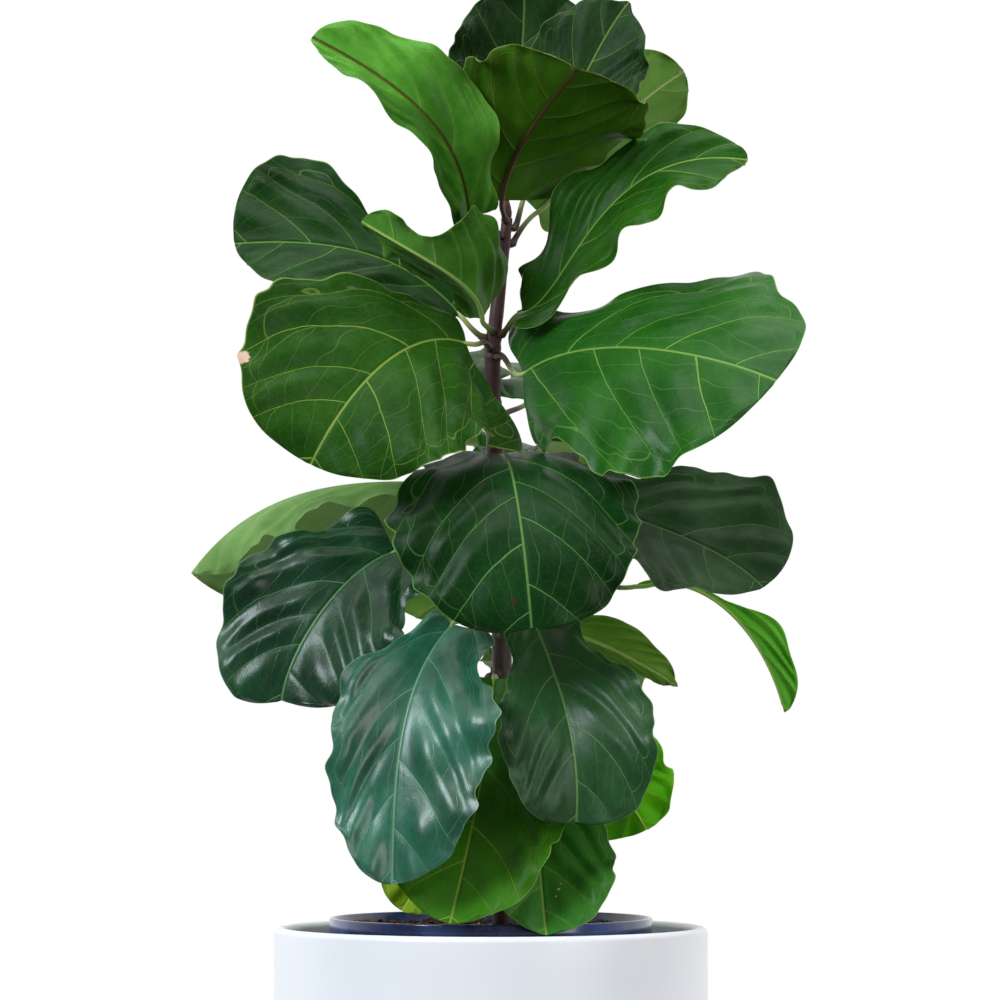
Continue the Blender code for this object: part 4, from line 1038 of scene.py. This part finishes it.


# %% [markdown]
# ## Leaf finishes
# The upper skin is waxy: deep green, lighter beside the veins, with pale yellow-green vein lines,
# a ladder of small cross veins and a faint net. Both skins have a pale margin, which is a painted
# highlight along the edge. The under side is paler and matte, with raised veins. Young leaves at
# the top are yellower and old ones at the bottom bluer and shinier, so the finish is one function
# of a few colours. Some greens hold painted light: the lime, vivid and yellow greens stand in for
# light shining through the blade, the light green of one low wrinkled leaf is a painted bluish
# sheen, and the deep green under one folded leaf is painted shade. Lines are drawn from the vein
# number and from real sizes in metres, so they keep their width on every leaf.

# %% Leaf finishes
VEIN_SPACING = 0.21 / VEINS


def leaf_skin(name, greens, rough, upper, haze=0.0, coat=0.0, gloss=0.5, rib=None, spots=()):
    """Green skin with veins: greens are its deep, light and vein colours, and spots its small marks."""
    deep, light, vein = (srgb(*green) for green in greens)
    made, tree, shader, where = new_finish(name)
    marks = wire(tree, "SeparateXYZ", wire(tree, "UVMap", uv_map="veins")).node
    number, across = marks.outputs[0], marks.outputs[1]
    size = wire(tree, "UVMap", uv_map="size")
    sideways = calc(tree, "ABSOLUTE", wire(tree, "SeparateXYZ", size, out=1))
    wobble = calc(tree, "MULTIPLY_ADD", noise(tree, size, 55.0, 2.0), 0.05, -0.025)
    number = calc(tree, "ADD", number, wobble)
    wide = calc(tree, "MULTIPLY_ADD", across, -0.00030 / VEIN_SPACING, 0.00064 / VEIN_SPACING)
    line = calc(tree, "DIVIDE", calc(tree, "PINGPONG", number, 0.5), wide)
    line = ramp(tree, line, 0.5, 1.4, 1.0, 0.0)
    turned_up = calc(tree, "MULTIPLY_ADD", ramp(tree, across, 0.50, 0.90), -0.42, number)
    fork = calc(tree, "DIVIDE", calc(tree, "PINGPONG", turned_up, 0.5), wide)
    fork = calc(tree, "MULTIPLY", ramp(tree, fork, 0.3, 1.2, 1.0, 0.0), ramp(tree, across, 0.50, 0.60))
    arch = calc(tree, "SINE", calc(tree, "MULTIPLY", number, math.pi))
    arch = calc(tree, "POWER", calc(tree, "ABSOLUTE", arch), 0.7)
    arch = calc(tree, "SUBTRACT", across, calc(tree, "MULTIPLY_ADD", arch, 0.09, 0.79))
    arch = ramp(tree, calc(tree, "ABSOLUTE", arch), 0.002, 0.008, 1.0, 0.0)
    panel = calc(tree, "MULTIPLY", calc(tree, "FLOOR", number), 0.37)
    uneven = calc(tree, "MULTIPLY_ADD", noise(tree, size, 30.0, 0.0), 0.9, panel)
    steps = calc(tree, "MULTIPLY_ADD", across, 5.0, uneven)
    rung = ramp(tree, calc(tree, "PINGPONG", steps, 0.5), 0.008, 0.028, 1.0, 0.0)
    rung = calc(tree, "MULTIPLY", rung, ramp(tree, across, 0.80, 0.92, 1.0, 0.0))
    net = wire(tree, "TexVoronoi", size, None, 130.0, feature="DISTANCE_TO_EDGE")
    net = ramp(tree, net, 0.0, 0.07, 1.0, 0.0)
    fine = wire(tree, "TexVoronoi", size, None, 620.0, feature="DISTANCE_TO_EDGE")
    fine = ramp(tree, fine, 0.0, 0.14, 1.0, 0.0)
    middle = ramp(tree, sideways, 0.0006, 0.0013, 1.0, 0.0)
    main = calc(tree, "MAXIMUM", line, calc(tree, "MAXIMUM", calc(tree, "MULTIPLY", fork, 0.75), middle))
    small = calc(tree, "MAXIMUM", calc(tree, "MULTIPLY", arch, 0.45), calc(tree, "MULTIPLY", rung, 0.24))
    small = calc(tree, "MAXIMUM", small, calc(tree, "MULTIPLY", net, 0.06))
    total = calc(tree, "MAXIMUM", main, small)
    cloud = noise(tree, where, 15.0, 4.0, 0.55)
    body = blend_colour(tree, ramp(tree, cloud, 0.30, 0.72), deep, light)
    near = calc(tree, "ADD", ramp(tree, calc(tree, "PINGPONG", number, 0.5), 0.0, 0.20, 0.30, 0.0),
                ramp(tree, sideways, 0.0, 0.013, 0.30, 0.0))
    body = blend_colour(tree, near, body, light)
    speck = noise(tree, where, 160.0, 4.0, 0.7)
    body = blend_colour(tree, ramp(tree, speck, 0.35, 0.75, 0.0, 0.30), body, deep)
    if haze:
        dust = ramp(tree, noise(tree, where, 34.0, 5.0, 0.65), 0.42, 0.75, 0.0, haze)
        body = blend_colour(tree, dust, body, srgb(118, 142, 112))
    # painted highlight: the last sliver of each half, at the margin, turns toward the pale vein colour, as if
    # the edge caught the light
    rim = ramp(tree, across, 0.982, 0.996, 0.0, 0.8)
    colour = blend_colour(tree, calc(tree, "MULTIPLY", total, 0.80), body, vein)
    colour = blend_colour(tree, rim, colour, vein)
    if rib:
        colour = blend_colour(tree, ramp(tree, sideways, 0.0007, 0.0022, 0.9, 0.0), colour, srgb(*rib))
    for along, aside, reach, spot in spots:
        away = wire(tree, "VectorMath", size, (along, aside, 0.0), out=1, operation="DISTANCE")
        ragged = calc(tree, "MULTIPLY_ADD", noise(tree, size, 300.0, 3.0), reach, -0.5 * reach)
        away = calc(tree, "ADD", away, ragged)
        inside = ramp(tree, away, 0.75 * reach, 1.05 * reach, 1.0, 0.0)
        colour = blend_colour(tree, inside, colour, srgb(*spot))
    tree.links.new(colour, shader.inputs["Base Color"])
    patch = ramp(tree, noise(tree, where, 46.0, 4.0, 0.6), 0.30, 0.75, rough - 0.05, rough + 0.09)
    patch = calc(tree, "ADD", patch, calc(tree, "MULTIPLY", main, 0.10))
    tree.links.new(patch, shader.inputs["Roughness"])
    shader.inputs["Specular IOR Level"].default_value = gloss
    shader.inputs["Coat Weight"].default_value = coat
    shader.inputs["Coat Roughness"].default_value = 0.18
    sign = -1.0 if upper else 1.0
    height = calc(tree, "MULTIPLY", main, 0.34 * sign)
    height = calc(tree, "ADD", height, calc(tree, "MULTIPLY", small, 0.40 * sign))
    height = calc(tree, "ADD", height, calc(tree, "MULTIPLY", fine, 0.020 * sign))
    height = calc(tree, "ADD", height, calc(tree, "MULTIPLY", noise(tree, size, 95.0, 3.0), 0.25))
    bump(tree, shader, height)
    return made


def stalk_skin(name, green, brown):
    """The stalk: green at the blade, browner and speckled toward the stem."""
    made, tree, shader, where = new_finish(name)
    along = wire(tree, "SeparateXYZ", wire(tree, "UVMap", uv_map="size"), out=0)
    speck = noise(tree, where, 500.0, 4.0, 0.7)
    share = calc(tree, "MULTIPLY_ADD", speck, 0.5, ramp(tree, along, -0.036, 0.002, 0.90, -0.25))
    tree.links.new(blend_colour(tree, ramp(tree, share, 0.0, 1.0), green, brown), shader.inputs["Base Color"])
    shader.inputs["Roughness"].default_value = 0.42
    bump(tree, shader, calc(tree, "MULTIPLY", noise(tree, where, 700.0, 3.0), 0.12))
    return made


# upper skins: deep green, light green, veins, roughness, dust, wax, gloss
UPPER = {
    "shade": ((20, 42, 18), (34, 66, 26), (100, 124, 62), 0.42, 0.0, 0.0, 0.10),
    "bright": ((44, 100, 16), (90, 160, 50), (136, 168, 76), 0.42, 0.0, 0.0, 0.15),
    "dark": ((12, 42, 10), (24, 66, 18), (98, 132, 58), 0.30, 0.0, 0.0, 0.10),
    "mid": ((20, 64, 6), (38, 92, 16), (126, 160, 72), 0.36, 0.0, 0.0, 0.10),
    "broad": ((18, 74, 12), (40, 100, 24), (122, 160, 72), 0.32, 0.0, 0.0, 0.18),
    "satin": ((22, 62, 8), (42, 88, 20), (132, 156, 68), 0.38, 0.0, 0.0, 0.10),
    "teal": ((8, 44, 22), (22, 74, 42), (88, 136, 78), 0.30, 0.0, 0.1, 0.40),
    "forest": ((8, 42, 10), (20, 64, 22), (96, 140, 68), 0.34, 0.0, 0.0, 0.12),
    "dusty": ((24, 54, 24), (44, 78, 40), (98, 124, 74), 0.46, 0.12, 0.0, 0.12),
    # painted light: lime is much brighter than the other greens and stands in for light shining through the
    # thin curled leaf
    "painted_light_lime": ((80, 170, 34), (120, 204, 60), (160, 204, 96), 0.38, 0.0, 0.0, 0.15),
    # partly painted reflection: the deep green is the leaf's own, and the bluish light green in cloudy
    # patches stands in for a bluish sheen on the wrinkles
    "wrinkled_painted_sheen": ((10, 66, 42), (44, 116, 92), (104, 156, 118), 0.34, 0.0, 0.2, 0.60),
    "pale": ((80, 118, 56), (116, 154, 84), (160, 178, 112), 0.50, 0.0, 0.0, 0.10),
    "slate": ((22, 60, 28), (46, 90, 48), (108, 142, 82), 0.36, 0.0, 0.0, 0.30),
    "grass": ((42, 98, 8), (62, 124, 22), (132, 162, 62), 0.36, 0.0, 0.0, 0.12),
    "low": ((46, 108, 34), (68, 136, 48), (140, 168, 78), 0.34, 0.0, 0.0, 0.15),
    # painted light: yellow is brighter than the leaf's own green and stands in for light shining through it
    # from the bright wall behind
    "yellow": ((104, 142, 10), (140, 178, 30), (176, 192, 86), 0.45, 0.0, 0.0, 0.15),
}
# under skins: deep green, light green, veins
UNDER = {
    "plain": ((86, 128, 44), (112, 152, 64), (162, 178, 104)),
    "olive": ((44, 88, 2), (60, 106, 10), (142, 132, 76)),
    "fresh": ((88, 138, 50), (112, 160, 68), (164, 184, 110)),
    # painted light: vivid is a bright yellow-green that stands in for light shining through the leaf from
    # behind
    "painted_light_vivid": ((84, 188, 2), (112, 212, 16), (170, 212, 80)),
    "lit": ((112, 166, 54), (140, 192, 78), (176, 200, 112)),
    # painted light: the same bright lime on the under side, for light shining through the leaf
    "painted_light_lime": ((84, 178, 38), (116, 208, 60), (160, 204, 96)),
    # partly painted shade: the light green is the under side's own colour, and the much darker deep green in
    # cloudy patches is painted shade of the fold
    "folded": ((36, 86, 12), (86, 148, 48), (150, 182, 92)),
    "grey": ((146, 184, 112), (168, 202, 132), (190, 200, 146)),
}
LOOKS = {
    "leaf_top_back": dict(tone="shade"),
    "leaf_top_back_right": dict(tone="shade"),
    "leaf_top_centre": dict(tone="satin", below="olive", rib=(74, 46, 24)),
    "leaf_top_right": dict(tone="mid", below="fresh"),
    "leaf_upper_left": dict(tone="bright", rib=(78, 60, 28)),
    "leaf_left_dark": dict(tone="dark"),
    # painted shade on the under side of this folded leaf
    "leaf_small_centre": dict(tone="mid", below="folded"),
    "leaf_right_upper": dict(tone="mid"),
    "leaf_right_big": dict(tone="broad"),
    "leaf_left_big": dict(tone="satin", spots=((0.156, 0.083, 0.0060, (206, 176, 156)),)),
    "leaf_far_left": dict(tone="pale", below="grey"),
    "leaf_left_glossy": dict(tone="teal", shape=dict(crinkle=1.4, puff=1.2)),
    "leaf_front_round": dict(tone="forest", spots=((0.188, 0.011, 0.0022, (70, 40, 28)),)),
    "leaf_right_mid": dict(tone="dusty"),
    # painted light: both sides of this leaf take the bright lime greens
    "leaf_right_curl": dict(tone="painted_light_lime", below="painted_light_lime", shape=dict(scallop=0, ripple=0.3, crinkle=0.4)),
    "leaf_low_left": dict(tone="wrinkled_painted_sheen", shape=dict(crinkle=2.3, scallop=0.03)),
    "leaf_low_centre": dict(tone="slate", shape=dict(crinkle=1.6)),
    "leaf_bottom_centre": dict(tone="grass"),
    "leaf_bottom_right": dict(tone="low", spots=(
        (0.133, -0.0125, 0.0013, (226, 196, 96)), (0.140, -0.0103, 0.0011, (226, 196, 96)),
        (0.127, -0.0147, 0.0009, (226, 196, 96)))),
    "leaf_right_low_back": dict(tone="grass", below="painted_light_vivid", shape=dict(scallop=0.02, ripple=0.6)),
    "leaf_low_left_back": dict(tone="yellow"),
    "leaf_right_small": dict(tone="mid", below="lit",
                             shape=dict(scallop=0, ripple=0.2, crinkle=0.3, wave=0.001)),
    "leaf_back_mid": dict(tone="broad"),
    "leaf_back_left": dict(tone="satin"),
    "leaf_back_right": dict(tone="broad"),
    "leaf_back_low": dict(tone="dark"),
    "leaf_back_low_right": dict(tone="low"),
    "leaf_back_low_left": dict(tone="dark"),
}
# what the fine blades of two leaves change in the leaf table
FINER = {
    "leaf_right_big": dict(scallop=0.012, bumps=[(-1, 0.66, 0.06, 0.14), (-1, 0.80, 0.04, -0.09)]),
    "leaf_right_curl": dict(
        rib=[(0.115, 0.03, 0.511), (0.161, 0.035, 0.508), (0.201, 0.035, 0.472), (0.226, 0.03, 0.413)],
        half=(0.018, 0.023), fold=(72, 64), at=0.72, waist=0.08, start=0.35, lobe=0, wave=0.002),
}

# %% [markdown]
# ## Growing the leaves
# Each leaf is made from its own row of sizes and its own greens, and takes the place of its solid.

# %% Leaves
total = 0
for seed, (node, given) in enumerate(LEAVES.items()):
    look = LOOKS[node]
    *greens, rough, haze, coat, gloss = UPPER[look["tone"]]
    under_greens = UNDER[look.get("below", "plain")]
    rib = look.get("rib")
    skins = [
        leaf_skin(node + "_upper", greens, rough, True, haze, coat, gloss, rib, look.get("spots", ())),
        leaf_skin(node + "_under", under_greens, 0.55, False, gloss=0.15, rib=rib),
        stalk_skin(node + "_stalk", srgb(*(rib or under_greens[2])), srgb(70, 48, 34)),
    ]
    given = {**given, **FINER.get(node, {}), **look.get("shape", {})}
    piece, length = fine_leaf(node.replace("leaf_", "blade_"), given, skins, seed)
    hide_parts(node)
    total += 2 * len(piece.data.polygons)
    print(f"  {node}: blade {length * 1000:.0f} mm long, {len(piece.data.polygons)} faces")
print("about", total, "triangles in the leaves")
